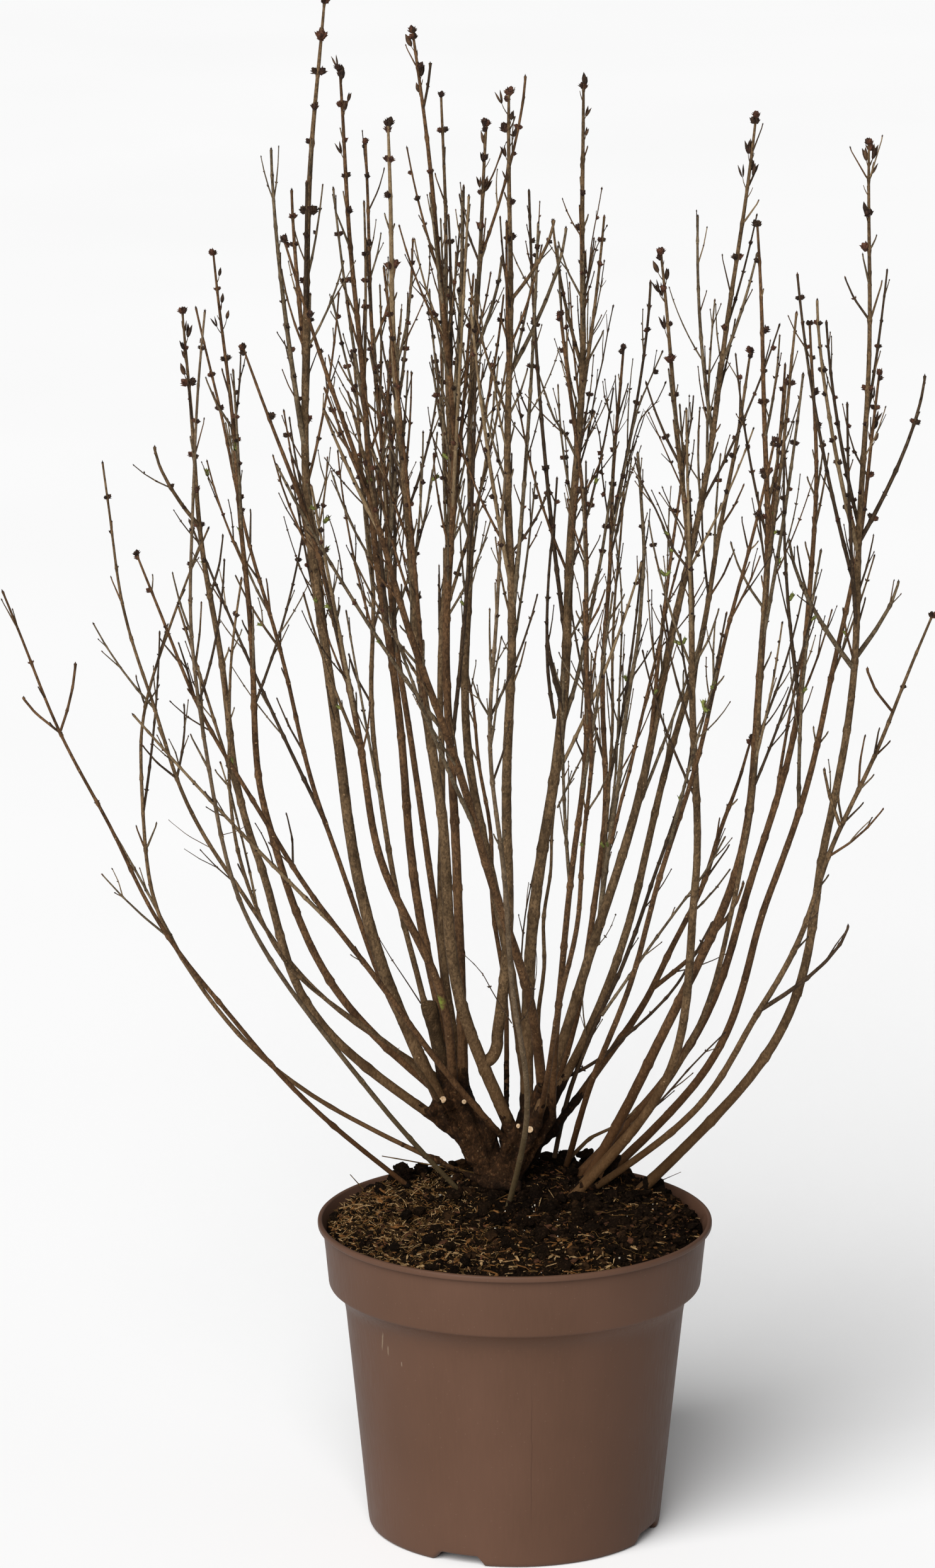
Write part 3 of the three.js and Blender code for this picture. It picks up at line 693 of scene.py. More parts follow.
def sprigs_of(twig, seed):
    """Short side shoots in pairs along a twig or fork, with the nodes they stand at."""
    draw = random_from(seed)
    nodes = max(int(twig.length // SPRIG_SPACING), 1)
    sprigs = {}
    for node, half in pairs(nodes):
        chance, reach, tilt = draw(), draw(), draw()
        share = node / nodes
        if chance > SPRIG_CHANCE or share < 0.15 or twig.girth_at(0) < SPRIG_GIRTH:
            continue
        length = between(SPRIG_LENGTH, reach**1.5) * min(1.3 - share, twig.length / 60)
        length *= 1 + np.clip((twig.length - 120) / 90, 0, 1)
        girth = min(SPRIG_GIRTH, 0.75 * twig.girth_at(share))
        sprigs[node, half] = twig_limb(
            twig, share, pair_turn(seed, node, half), between(SPRIG_LEAN, tilt), max(length, 4), girth)
    return sprigs


def shows(node, share, spacing):
    """Whether a node shows: on a stem's low part only every other one does."""
    return spacing != NODE_SPACING or share > LOW_SHARE or node % 2 == 0


def owned(limbs, kind, stem):
    """Those of the limbs that grow on a stem."""
    return {(kind, place): limb for place, limb in enumerate(limbs) if limb.owner == stem.owner}


class Plant:
    """All limbs of the bush, by stem, and what grows on their nodes."""

    def __init__(self):
        self.stems, forks, main, pieces = grow_frame()
        self.twigs = []
        self.buds = {side: [] for side in SIDES}
        self.greens, self.capsules, self.husks, self.scars = [], [], [], []
        named = {stem.owner: stem for stem in self.stems}
        traced = [traced_limb(named[owner], *row) for owner, rows in TRACED.items() for row in rows]
        for limb in traced:
            pieces.add(limb, 12)
        for index, stem in enumerate(self.stems):
            own = owned(forks, "fork", stem)
            finer = finer_shoots(stem, index, {**main[index], **own}, pieces)
            shoots = {**own, **main[index], **finer, **owned(traced, "traced", stem)}
            stem.girth = lambda t, girth=stem.girth, slim=SLIM[stem.side]: slim * girth(t)
            self.node_buds(stem, index, NODE_SPACING, shoots, stem_bud_size(stem))
            for number, twig in enumerate(shoots.values()):
                seed = 977 * (index + 1) + number
                sprigs = sprigs_of(twig, seed)
                self.twigs.append((twig, SPRIG_SPACING))
                self.node_buds(twig, seed, SPRIG_SPACING, sprigs, twig_bud_size(twig))
                for place, sprig in enumerate(sprigs.values()):
                    self.node_buds(sprig, seed + place, BUD_SPACING, {}, lambda share: 1.8)
                    self.twigs.append((sprig, BUD_SPACING))
            if stem.owner in CAPSULE_TIPS:
                self.fruit(stem, index)

    def node_buds(self, limb, seed, spacing, taken, size):
        """A pair of buds at each node, but for the sides that a shoot takes, and a tip cluster."""
        if limb.girth_at(0) < BUD_GIRTH:
            return
        draw = random_from(BUD_SEED + 31 * seed)
        nodes = max(int(limb.length // spacing), 1)
        _, along, side, away = limb.frames(np.arange(nodes + 1) / nodes)
        buds = self.buds[limb.side]
        for node in range(1, nodes):
            share = node / nodes
            pair, pair_grow, green = draw(), draw(), draw()
            for half in (0, 1):
                chance, grow = draw(), draw()
                low = np.clip((limb.at(share)[2] - BUD_GROWTH[0]) / BUD_GROWTH[1], 0.55, 1)
                length = low * size(share) * (0.45 + 0.6 * pair_grow + 0.3 * grow)
                out = out_at(side[node], away[node], pair_turn(seed, node, half))
                if not shows(node, share, spacing):
                    continue
                if spacing == NODE_SPACING and share < SCAR_SHARE:
                    scar = limb.at(share) - along[node] * 1.3 + out * limb.girth_at(share) * 1.06
                    self.scars.append((scar, out, 0.55 + 0.35 * grow))
                if (node, half) in taken or length < BUD_SHORTEST:
                    continue
                if pair < BUD_GAPS[0] or chance < BUD_GAPS[1]:
                    continue
                place = limb.at(share) + out * limb.girth_at(share) * 0.75
                direction = along[node] * 0.8 + out * 0.75
                breaks = green < GREEN_CHANCE and GREEN_HEIGHTS[0] < place[2] < GREEN_HEIGHTS[1]
                if breaks and chance < 0.6:
                    self.greens.append((place, direction, 4.5 + 3.5 * grow))
                else:
                    buds.append((place, direction, length))
        tip, size_there = limb.at(1.0), size(1.0)
        if size_there < STRONG_TIP:
            buds.append((tip - along[-1] * 0.5, along[-1], 0.8 + 0.5 * size_there))
            return
        for number in range(2 + int(3 * draw())):
            out = out_at(side[-1], away[-1], pair_turn(seed, number // 2, number % 2) + draw())
            drop = (number // 2) * size_there * 0.7
            buds.append((tip - along[-1] * drop + out * 0.4, along[-1] + out * (0.35 + 0.25 * (number // 2)),
                         size_there * (0.7 + 0.4 * draw())))

    def fruit(self, stem, index):
        """Split seed pods in pairs, and the dry stalks of an old flower head, below a tip."""
        draw = random_from(FRUIT_SEED + index)
        for number in range(4 + int(4 * draw())):
            share = 1 - (1 + 62 * draw()) / stem.length
            turn = 2 * math.pi * draw()
            stalk = twig_limb(stem, share, turn, 0.5 + 0.3 * draw(), 4 + 7 * draw(), 0.4)
            self.husks.append(stalk)
            if number % 3 != 2:
                end = stalk.at(1.0)
                heading = end - stalk.at(0.8)
                self.capsules.append((end, heading, 6 + 3.5 * draw()))


def stem_bud_size(stem):
    """Bud lengths over a stem: small low down, and plump near the top of a strong stem."""
    vigour = np.clip(stem.girth_at(0.3) / 3.4, 0.55, 1.25)
    return lambda share: 1.4 + 0.6 * vigour + 4.3 * vigour * np.clip((share - 0.45) / 0.45, 0, 1)


def twig_bud_size(twig):
    return lambda share: 1.7 + min(twig.length / 60, 1.9)


# ---- bark ----
NODE_RINGS = (-8, -3.4, -1.2, 0, 1.2, 3.4, 8)  # rings of a tube about each node, in mm
TWIG_RINGS = (-3.4, -1.1, 0, 1.1, 3.4)
SPRIG_RINGS = (-1.2, 0, 1.2)
NODE_SWELL = 0.38  # share by which a thin limb swells at a node
SWELL_GIRTH = 1.5  # a thicker limb swells by a smaller share
NODE_REACH = (1.1, 0.45)  # mm over which a node swells, and the limb's girth's part in it


def ring_shares(limb, spacing, start, end):
    nodes = max(int(limb.length // spacing), 1)
    reach = {NODE_SPACING: NODE_RINGS, SPRIG_SPACING: TWIG_RINGS}.get(spacing, SPRIG_RINGS)
    around = np.arange(nodes + 1)[:, None] / nodes + np.array(reach)[None] / limb.length
    shares = np.unique(np.round(around.ravel(), 5))
    shares = shares[(shares > start) & (shares < end)]
    return np.concatenate([[start], shares, [end]])


def bark_girth(limb, seed, spacing, shares, sides, rough):
    """Radii over a limb's rings and sides: swollen nodes and the bark's unevenness."""
    nodes = max(int(limb.length // spacing), 1)
    nearest = np.clip(np.round(shares * nodes), 1, nodes).astype(int)
    away = (shares - nearest / nodes) * limb.length
    girth = limb.girth(shares)
    swell = NODE_SWELL * np.minimum(1, SWELL_GIRTH / girth)
    swell = swell * np.exp(-(away / (NODE_REACH[0] + NODE_REACH[1] * girth)) ** 2)
    swell = swell * [shows(node, node / nodes, spacing) for node in nearest]
    angles = round_angles(sides)
    turns = seed + (nearest % 2) * (np.pi / 2)
    pair = 0.55 + 0.45 * np.cos(2 * (angles[None] - turns[:, None]))
    rng = np.random.default_rng(seed)
    uneven = rng.normal(0, rough, (len(shares), sides))
    phase = 2 * np.pi * rng.random()
    ridges = rough * 1.5 * np.cos(3 * angles[None] + phase + shares[:, None] * 9)
    return girth[:, None] * (1 + swell[:, None] * pair + uneven + ridges)


def tone_of(index, number=0):
    """The bark's tone of a stem or shoot: brown, grey, some reddish, a few dead and pale, many in painted
    shade.
    """
    draw = random_from(TONE_SEED * (index + 1) + 7 * number)
    draw()
    pick = draw()
    # many shoots take the shaded copy of the bark, which is painted shade; a few are dead and pale
    if number and (pick > 0.94 or pick < 0.3):
        return PALE if pick > 0.94 else PAINTED_SHADE
    return RED if pick > 0.76 else GREY if pick > 0.4 else BROWN


# ---- materials ----
def tint(red, green, blue):
    """A colour given as it looks on a screen, 0 to 255, for a shader's socket."""
    parts = (one / 255 for one in (red, green, blue))
    return (*(c / 12.92 if c < 0.04 else ((c + 0.055) / 1.055) ** 2.4 for c in parts), 1)


class Paint:
    """A material under construction. Sizes are in millimetres on the object."""

    def __init__(self, name, roughness, specular):
        self.material = bpy.data.materials.new(name)
        self.material.use_nodes = True
        self.tree = self.material.node_tree
        self.shader = self.tree.nodes["Principled BSDF"]
        self.shader.inputs["Roughness"].default_value = roughness
        self.shader.inputs["Specular IOR Level"].default_value = specular
        self.where = self.add("ShaderNodeTexCoord").outputs["Object"]

    def add(self, kind, inputs=(), **settings):
        """A node with settings, and a number or another node's output for each of some inputs."""
        node = self.tree.nodes.new(kind)
        for name, value in settings.items():
            setattr(node, name, value)
        for socket, value in dict(inputs).items():
            self.put(value, node.inputs[socket])
        return node

    def put(self, value, socket):
        if isinstance(value, bpy.types.NodeSocket):
            self.tree.links.new(value, socket)
        else:
            socket.default_value = value

    def axis(self, name):
        """How far along X, Y or Z a place is, in metres."""
        return self.add("ShaderNodeSeparateXYZ", {0: self.where}).outputs[name]

    def stretched(self, size, stretch):
        """Inputs of a texture with a size, drawn out by a factor along each axis."""
        scale = [1 / one for one in stretch]
        node = self.add("ShaderNodeMapping", {"Vector": self.where, "Scale": scale})
        return {"Vector": node.outputs["Vector"], "Scale": 1000 / size}

    def noise(self, size, stretch=(1, 1, 1), detail=4.0, rough=0.55):
        inputs = {**self.stretched(size, stretch), "Detail": detail, "Roughness": rough}
        return self.add("ShaderNodeTexNoise", inputs).outputs["Fac"]

    def cells(self, size, stretch=(1, 1, 1)):
        """Distance to the nearest of scattered points, 0 at a point."""
        return self.add("ShaderNodeTexVoronoi", self.stretched(size, stretch)).outputs["Distance"]

    def ramp(self, value, low, high, to_low=0.0, to_high=1.0):
        """Maps low..high onto 0..1 (or another range), without going past its ends."""
        inputs = enumerate((value, low, high, to_low, to_high))
        return self.add("ShaderNodeMapRange", inputs).outputs["Result"]

    def patches(self, low, high, *noise):
        """1 where a noise is high and 0 where it is low."""
        return self.ramp(self.noise(*noise), low, high)

    def math(self, kind, first, second=0.0):
        return self.add("ShaderNodeMath", {0: first, 1: second}, operation=kind).outputs[0]

    def times(self, first, second):
        return self.math("MULTIPLY", first, second)

    def near(self, middle, reach):
        """1 at a place given in millimetres, fading to 0 at a distance from it."""
        inputs = {0: self.where, 1: [one * MM for one in middle]}
        node = self.add("ShaderNodeVectorMath", inputs, operation="DISTANCE")
        return self.ramp(node.outputs["Value"], reach * MM, reach * 0.3 * MM)

    def mix(self, share, *colours):
        """A blend of two colours, each given as it looks on a screen or by a node's output."""
        first, second = (tint(*one) if isinstance(one, tuple) else one for one in colours)
        node = self.add("ShaderNodeMix", {"Factor": share, 6: first, 7: second}, data_type="RGBA")
        return node.outputs[2]

    def done(self, colour, bump=None, depth=0.2, roughness=None):
        self.put(colour, self.shader.inputs["Base Color"])
        if roughness is not None:
            self.put(roughness, self.shader.inputs["Roughness"])
        if bump is not None:
            node = self.add("ShaderNodeBump", {"Strength": 1.0, "Distance": depth * MM, "Height": bump})
            self.put(node.outputs["Normal"], self.shader.inputs["Normal"])
        return self.material


ALGAE = ((-56, -5, 384), 8)  # place and reach of the green growth on a stem
ALGAE_GREEN = (118, 134, 52)
LOW_BARK = (0.265, 0.4)  # heights in metres between which the bark turns lighter
BARK_BUMP = 0.16


def with_algae(paint, colour):
    green = paint.times(paint.near(*ALGAE), paint.patches(0.36, 0.52, 3))
    return paint.mix(green, colour, ALGAE_GREEN)


def bark_material(name, main, dark, pale, low):
    """Smooth young bark: long faint streaks, small pale pores, darker towards the ground."""
    paint = Paint(name, 0.8, 0.08)
    broad = paint.patches(0.4, 0.66, 12, (1, 1, 1.6))
    fine = paint.patches(0.42, 0.62, 1.5, (1, 1, 1.8), 5, 0.66)
    pores = paint.ramp(paint.cells(2.6, (1, 1, 1.5)), 0.2, 0.1)
    some = paint.patches(0.46, 0.54, 9)
    colour = paint.mix(paint.times(broad, 0.66), main, dark)
    colour = paint.mix(paint.times(fine, 0.7), colour, dark)
    colour = paint.mix(paint.times(pores, paint.times(some, 0.6)), colour, pale)
    down = paint.ramp(paint.axis("Z"), *LOW_BARK, 1, 0)
    colour = with_algae(paint, paint.mix(paint.times(down, 0.8), colour, low))
    bump = paint.math("ADD", fine, paint.times(pores, 0.8))
    return paint.done(colour, bump, BARK_BUMP, paint.ramp(broad, 0, 1, 0.66, 0.82))


def stool_material():
    """Old bark: flaky, mottled and dark, darker towards the soil, with painted shade behind the front limbs.
    Its heights are in metres.
    """
    paint = Paint("old_bark", 0.88, 0.06)
    broad = paint.patches(0.38, 0.62, 13)
    flakes = paint.patches(0.42, 0.6, 2.2, (1, 1, 1.5), 6, 0.7)
    colour = paint.mix(broad, (80, 54, 33), (47, 31, 19))
    colour = paint.mix(paint.times(flakes, 0.7), colour, (22, 14, 8))
    specks = paint.ramp(paint.cells(4.5), 0.2, 0.08)
    colour = paint.mix(paint.times(specks, 0.4), colour, (128, 102, 72))
    y, z = paint.axis("Y"), paint.axis("Z")
    # painted shade: the wood farther back (higher Y) is darkened, less so above the stumps' tops; the foot
    # is also darker towards the soil
    painted_shade_behind = paint.times(paint.ramp(y, 0.019, 0.036, 0, 0.75), paint.ramp(z, 0.306, 0.335, 1, 0.25))
    for darkened in (paint.ramp(z, 0.24, 0.262, 0.7, 0), painted_shade_behind):
        colour = paint.mix(darkened, colour, (20, 13, 8))
    dry = paint.times(paint.ramp(z, 0.322, 0.342), paint.ramp(broad, 1, 0, 0.5, 0.85))
    return paint.done(with_algae(paint, paint.mix(dry, colour, (86, 68, 47))), flakes, 0.9)


def grain_material(name, main, other, size=1.2, roughness=0.85, relief=0.1, specular=0.15):
    """A small thing's dry, uneven surface."""
    paint = Paint(name, roughness, specular)
    broad = paint.patches(0.4, 0.62, size * 4)
    grain = paint.patches(0.4, 0.64, size, (1, 1, 1), 3)
    colour = paint.mix(broad, main, other)
    return paint.done(paint.mix(paint.times(grain, 0.4), colour, other), grain, relief)


def cut_material():
    """Pale wood of a pruned end."""
    paint = Paint("cut_wood", 0.8, 0.25)
    grain = paint.patches(0.4, 0.65, 1.4, (1, 1, 1), 5)
    return paint.done(paint.mix(grain, (188, 164, 134), (150, 120, 86)), grain, 0.15)


def peat_material():
    paint = Paint("peat", 0.95, 0.03)
    broad = paint.patches(0.38, 0.64, 18)
    fibre = paint.patches(0.42, 0.62, 1.6, (1, 1, 1), 6, 0.7)
    colour = paint.mix(broad, (25, 17, 11), (42, 29, 18))
    return paint.done(paint.mix(paint.times(fibre, 0.7), colour, (12, 8, 5)), fibre, 1.2)


SCRATCHES = (  # place across, heights of the foot and top, colour on a screen
    (-93, 150, 166, (150, 136, 112)), (-89, 148, 156, (150, 136, 112)),
    (-79, 143, 147, (154, 140, 122)), (11, 26, 144, (52, 35, 27)))


def pot_material():
    """Satin nursery-pot plastic: faint upright brushing, specks of dust and a few scratches."""
    paint = Paint("pot_plastic", 0.5, 0.12)
    brushed = paint.noise(1.6, (1, 1, 60), 3)
    drift = paint.patches(0.35, 0.65, 70, (1, 1, 1.6), 2)
    speck = paint.ramp(paint.cells(5), 0.09, 0.03)
    colour = paint.mix(drift, (84, 60, 47), (79, 56, 43))
    colour = paint.mix(paint.times(paint.ramp(brushed, 0.4, 0.68), 0.17), colour, (92, 66, 52))
    colour = paint.mix(paint.times(speck, 0.22), colour, (134, 112, 98))
    x, y, z = (paint.axis(name) for name in "XYZ")
    front = paint.ramp(y, -0.04, -0.05)
    wobble = paint.ramp(paint.noise(12), 0, 1, -0.0012, 0.0012)
    for place, foot, top, shade in SCRATCHES:
        off = paint.math("SUBTRACT", paint.math("ADD", x, wobble), place * MM)
        line = paint.ramp(paint.math("ABSOLUTE", off), 0.0005, 0.0002)
        up = paint.math("ABSOLUTE", paint.math("SUBTRACT", z, (foot + top) / 2 * MM))
        inside = paint.ramp(up, (top - foot) / 2 * MM, (top - foot) / 4 * MM)
        mark = paint.times(paint.times(line, inside), front)
        colour = paint.mix(paint.times(mark, 0.35), colour, shade)
    return paint.done(colour, brushed, 0.03, paint.ramp(brushed, 0.3, 0.7, 0.44, 0.58))


# ---- pot ----
POT_SIDES = 240
NOTCH_BLEND = 15  # height up to which the wall makes room for a notch
NOTCHED = range(6, 14)  # places in the profile of the ring that the notches cut
POT_PROFILE = [  # radius and height, from the middle of the underside out, up and in again
    (0, 0), (PAD_RADIUS - 1, 0), (PAD_RADIUS, 0.6), (PAD_RADIUS + 2, FLOOR_RAISE),
    (60, FLOOR_RAISE), (94, FLOOR_RAISE), (96.4, FLOOR_RAISE - 0.6), (98, 0.8), (98.8, 0),
    (100, 0), (101.6, 0.2), (103, 1.2), (103.8, 2.6), (104.1, 4.4), (104.7, 9), (106, 22),
    (108.5, 47), (111, 72), (113.5, 97), (116, 122), (118.5, 146), (119.6, 157), (120.3, 162), (121.2, 166),
    (122.6, 169.4), (124.6, 172.4), (127.2, 175.3), (130, 177.9), (130.8, 178.4), (131.4, 178.9),
    (131.8, 179.7), (132, 180.8), (132.1, 182.4), (132.9, 190), (134, 202), (135.2, 213),
    (135.6, 217.8), (135.6, 219.4), (135.7, 220.2), (136.2, 220.5), (138.5, 220.6), (139.1, 220.8),
    (139.5, 221.3), (139.6, 222), (139.6, 223.6), (139.4, 224.4), (138.8, 224.9), (138, 225),
    (137.4, 225), (136.7, 224.8), (136.3, 224.2), (135.4, 221.6), (133.7, 218.4), (133.3, 216.8),
    (132.6, 208), (131.2, 192), (129.8, 180.5), (127, 177), (121, 172), (118.5, 168), (115.5, 140),
    (111.5, 100), (107.5, 60), (103.4, 20), (101.8, FLOOR_RAISE + FLOOR), (0, FLOOR_RAISE + FLOOR)]


def build_pot():
    angles = round_angles(POT_SIDES)
    radii, heights = np.array(POT_PROFILE[1:-1], float).T
    middles = np.radians(NOTCH_FIRST + 360 / NOTCHES * np.arange(NOTCHES)) - np.pi / 2
    off = np.abs((angles[:, None] - middles + np.pi) % (2 * np.pi) - np.pi).min(axis=1)
    slope = (NOTCH_FOOT_WIDTH - NOTCH_TOP_WIDTH) / 2
    room = np.clip((NOTCH_FOOT_WIDTH / 2 - off * FOOT_RADIUS) / slope, 0, 1) * FLOOR_RAISE
    ring = np.isin(np.arange(len(radii)), NOTCHED)
    z = heights[:, None] + room[None] * np.where(ring, 1 - heights / NOTCH_BLEND, 0)[:, None]
    shape = Shape()
    ends = [(0, 0, POT_PROFILE[0][1]), (0, 0, POT_PROFILE[-1][1])]
    shape.add_rings(rings_about_z(radii, z, POT_SIDES), ends)
    return shape.build("pot_shell", [pot_material()])


# ---- soil ----
SOIL_FLAT_RADIUS = 102
SOIL_RADIUS = 132.6
SOIL_RINGS = 90
SOIL_SIDES = 240
LUMPS = ((26, 3.0), (10, 3.0), (4, 1.6))  # size and height of the soil's unevenness
HEAP = ((16, 58), (50, 42), 8.5)  # the soil heaped about the stool: middle, reach, height


def soil_heights(points):
    """Heights of the soil at places (n, 2): the source's mound, with lumps."""
    radii = np.hypot(points[:, 0], points[:, 1])
    middle = (SOIL_FLAT_RADIUS + SOIL_RADIUS) / 2
    mound = np.interp(
        radii, [0, SOIL_FLAT_RADIUS, middle, SOIL_RADIUS],
        [SOIL_TOP, SOIL_TOP - 2.5, (SOIL_EDGE + SOIL_TOP) / 2 + 1, SOIL_EDGE])
    rough = np.zeros(len(points))
    for layer, (size, height) in enumerate(LUMPS):
        rough += [height * noise.noise(Vector((x / size, y / size, 7.3 * layer))) for x, y in points]
    off = (points - HEAP[0]) / HEAP[1]
    heap = HEAP[2] * np.exp(-np.sum(off * off, axis=1))
    return mound + heap + rough * np.interp(radii, [100, 131], [1, 0.5]) - 0.4


def build_soil(material):
    radii = SOIL_RADIUS * np.linspace(0.004, 1, SOIL_RINGS)
    flat = rings_about_z(radii, np.zeros(SOIL_RINGS), SOIL_SIDES)[..., :2]
    z = soil_heights(flat.reshape(-1, 2)).reshape(SOIL_RINGS, SOIL_SIDES)
    skirt = np.array([(129.2, 179), (117.6, 167), (101.2, FLOOR_RAISE + FLOOR + 0.3)])
    rings = np.concatenate([rings_about_z(radii, z, SOIL_SIDES), rings_about_z(*skirt.T, SOIL_SIDES)])
    shape = Shape()
    shape.add_rings(rings, [(0, 0, z[0].mean()), (0, 0, skirt[-1][1])], inward=True)
    return shape.build("peat", [material])


def strip_template(bend, ends=0.5):
    """A thin bent strip along X, from -0.5 to 0.5, one unit wide and thick."""
    along = np.array([-0.5, 0, 0.5])
    width = np.array([ends, 1, ends * 0.6])
    arch = bend * (1 - (2 * along) ** 2)
    square = np.array([(-0.5, -0.5), (0.5, -0.5), (0.5, 0.5), (-0.5, 0.5)])
    rings = [[(x, y * w, z + a) for y, z in square] for x, w, a in zip(along, width, arch)]
    caps = [(0, 2, 1), (0, 3, 2), (8, 9, 10), (8, 10, 11)]
    return np.array(rings, float).reshape(-1, 3), np.concatenate([halves(grid_faces(3, 4)), caps])


def plate_template(rng):
    """A flat chip with an uneven outline, about one unit across and thick."""
    angles = np.sort(rng.random(6)) * 0.5 + np.arange(6) * (2 * np.pi / 6)
    reach = 0.35 + 0.2 * rng.random(6)
    outline = np.stack([reach * np.cos(angles), reach * np.sin(angles)], -1)
    points = [(*p, -0.5) for p in outline] + [(*(0.85 * p), 0.5) for p in outline]
    here = np.arange(6)
    there = (here + 1) % 6
    faces = np.concatenate([
        np.stack([here, there, there + 6], -1), np.stack([here, there + 6, here + 6], -1),
        [(0, i + 1, i) for i in range(1, 5)], [(6, 6 + i, 7 + i) for i in range(1, 5)]])
    return np.array(points, float), faces


def crumb_template(rng, detail=1):
    """A lump with an uneven surface, about one unit across."""
    ball = bmesh.new()
    bmesh.ops.create_icosphere(ball, subdivisions=detail, radius=0.5)
    points = np.array([vert.co[:] for vert in ball.verts])
    faces = np.array([[vert.index for vert in face.verts] for face in ball.faces])
    ball.free()
    return points * (0.7 + 0.6 * rng.random((len(points), 1))), faces


LITTER_RADIUS = 131  # within which the middles of litter lie
LITTER_LIMIT = 133.4  # how far out a piece of litter may reach, just short of the wall


def litter_places(rng, count, side=0.0, front=0.0):
    """Places over the soil: crowded to the left and front, or to the right where side is below 0."""
    angles = 2 * np.pi * rng.random(count)
    radii = LITTER_RADIUS * np.sqrt(rng.random(count))
    places = np.stack([radii * np.cos(angles), radii * np.sin(angles)], -1)
    rightward = np.clip((places[:, 0] + 0.1 * places[:, 1] + 70) / 54, 0, 1)
    backward = np.clip((places[:, 1] + 112) / 34, 0, 1)
    thin = side * (rightward if side > 0 else rightward - 1) + front * backward
    return places[rng.random(count) > thin]


def lay(shape, rng, templates, places, sizes, tones, tilt, sunk):
    """Copies of templates that lie on the soil, turned and tilted at random."""
    lengths, widths, thicknesses = sizes
    count = len(places)
    inner = LITTER_LIMIT - lengths / 2
    places = places * np.minimum(1, inner / np.hypot(*places.T))[:, None]
    turn = 2 * np.pi * rng.random(count)
    lean, roll = rng.normal(0, tilt, (2, count))
    along = unit(np.stack([np.cos(turn), np.sin(turn), lean], -1))
    up = unit(np.stack([np.sin(turn) * roll, -np.cos(turn) * roll, np.ones(count)], -1))
    side = unit(np.cross(up, along))
    up = np.cross(along, side)
    bases = np.stack([
        along * lengths[:, None], side * widths[:, None], up * thicknesses[:, None]], -1)
    z = soil_heights(places) + sunk * thicknesses + 0.25 * np.abs(lean) * lengths
    pick = rng.integers(0, len(templates), count)
    scatter(shape, templates, pick, np.concatenate([places, z[:, None]], -1), bases, tones)


def scatter(shape, templates, pick, places, bases, tones):
    """A copy at each place of the template that is picked for it."""
    for number, template in enumerate(templates):
        own = pick == number
        shape.copies(template, places[own], bases[own], tones[own])


def drawn(rng, count, low, high, lean=1.0):
    """Numbers between two ends, the lower ones the likelier the greater the lean."""
    return between((low, high), rng.random(count) ** lean)


BY_LENGTH = True  # marks widths or thicknesses that are shares of the length
LITTER = (  # kind, crowd, lengths, widths, thicknesses, shares of the tones, tilt, sunk
    ("crumb", (4400,), (0.9, 4.8, 2.4), (0.6, 1, BY_LENGTH), (0.5, 0.9, BY_LENGTH),
     (0.66, 0.34), 0.4, 0.2),
    ("clod", (620, -0.8), (4, 13, 2), (0.6, 1, BY_LENGTH), (0.45, 0.8, BY_LENGTH),
     (0.85, 0.15), 0.3, 0.14),
    # straw: thick on the left, browner and thinner elsewhere, broad pieces at the front
    ("strip", (11500, 0.98), (1.6, 9.5, 2.2), (0.35, 1.1), (0.2, 0.45), (0.3, 0.48, 0.22), 0.3, 0.8),
    ("strip", (1500, -0.5), (1.6, 7, 2), (0.35, 0.9), (0.2, 0.4), (0.05, 0.55, 0.4), 0.22, 0.5),
    ("strip", (3400, 0, 0.97), (2.5, 13, 2), (0.5, 2.8), (0.3, 0.6), (0.4, 0.3, 0.3), 0.2, 0.9),
    ("strip", (170, 0.5), (9, 24, 1.8), (0.45, 0.9), (0.3, 0.6), (0.5, 0.4, 0.1), 0.14, 1.3),
    ("plate", (900, 0.8), (2.5, 11, 2.2), (0.3, 0.7, BY_LENGTH), (0.4, 1.1),
     (0.5, 0.1, 0.4, 0), 0.24, 0.6),
    ("plate", (800, -0.6), (2, 9, 2), (0.3, 0.7, BY_LENGTH), (0.4, 1.1), (0.6, 0.25, 0.15, 0), 0.2, 0.5),
    ("plate", (60, -1.0), (0.8, 2.6, 1.5), (0.6, 0.9, BY_LENGTH), (0.4, 0.8), (0, 0, 0, 1), 0.2, 1.1),
)


def build_litter():
    """Crumbs of peat, shreds of straw and chips of bark on the soil, each kind apart."""
    rng = np.random.default_rng(5)
    crumbs, shreds, chips = Shape(), Shape(), Shape()
    kinds = {  # the piece that each kind joins, and its templates
        "crumb": (crumbs, [crumb_template(rng) for _ in range(6)]),
        "clod": (crumbs, [crumb_template(rng, 2) for _ in range(5)]),
        "strip": (shreds, [strip_template(bend) for bend in (0.0, 1.2, 2.6, -1.0)]),
        "plate": (chips, [plate_template(rng) for _ in range(8)])}
    for kind, crowd, lengths, wide, thick, shares, tilt, sunk in LITTER:
        places = litter_places(rng, *crowd)
        count = len(places)
        length = drawn(rng, count, *lengths)
        width = drawn(rng, count, *wide[:2], 1.4) * (length if BY_LENGTH in wide[2:] else 1)
        depth = drawn(rng, count, *thick[:2]) * (length if BY_LENGTH in thick[2:] else 1)
        tones = np.searchsorted(np.cumsum(shares), rng.random(count) * 0.999)
        shape, templates = kinds[kind]
        lay(shape, rng, templates, places, (length, width, depth), tones, tilt, sunk)
    return [
        crumbs.build("peat_crumbs", grains("peat", "peat_brown"), smooth=False),
        shreds.build("straw_shreds", grains("straw", "straw_olive", "chip_orange"), smooth=False),
        chips.build("bark_chips", grains("chip_russet", "peat_brown", "chip_orange", "grit_white"),
                    smooth=False)]


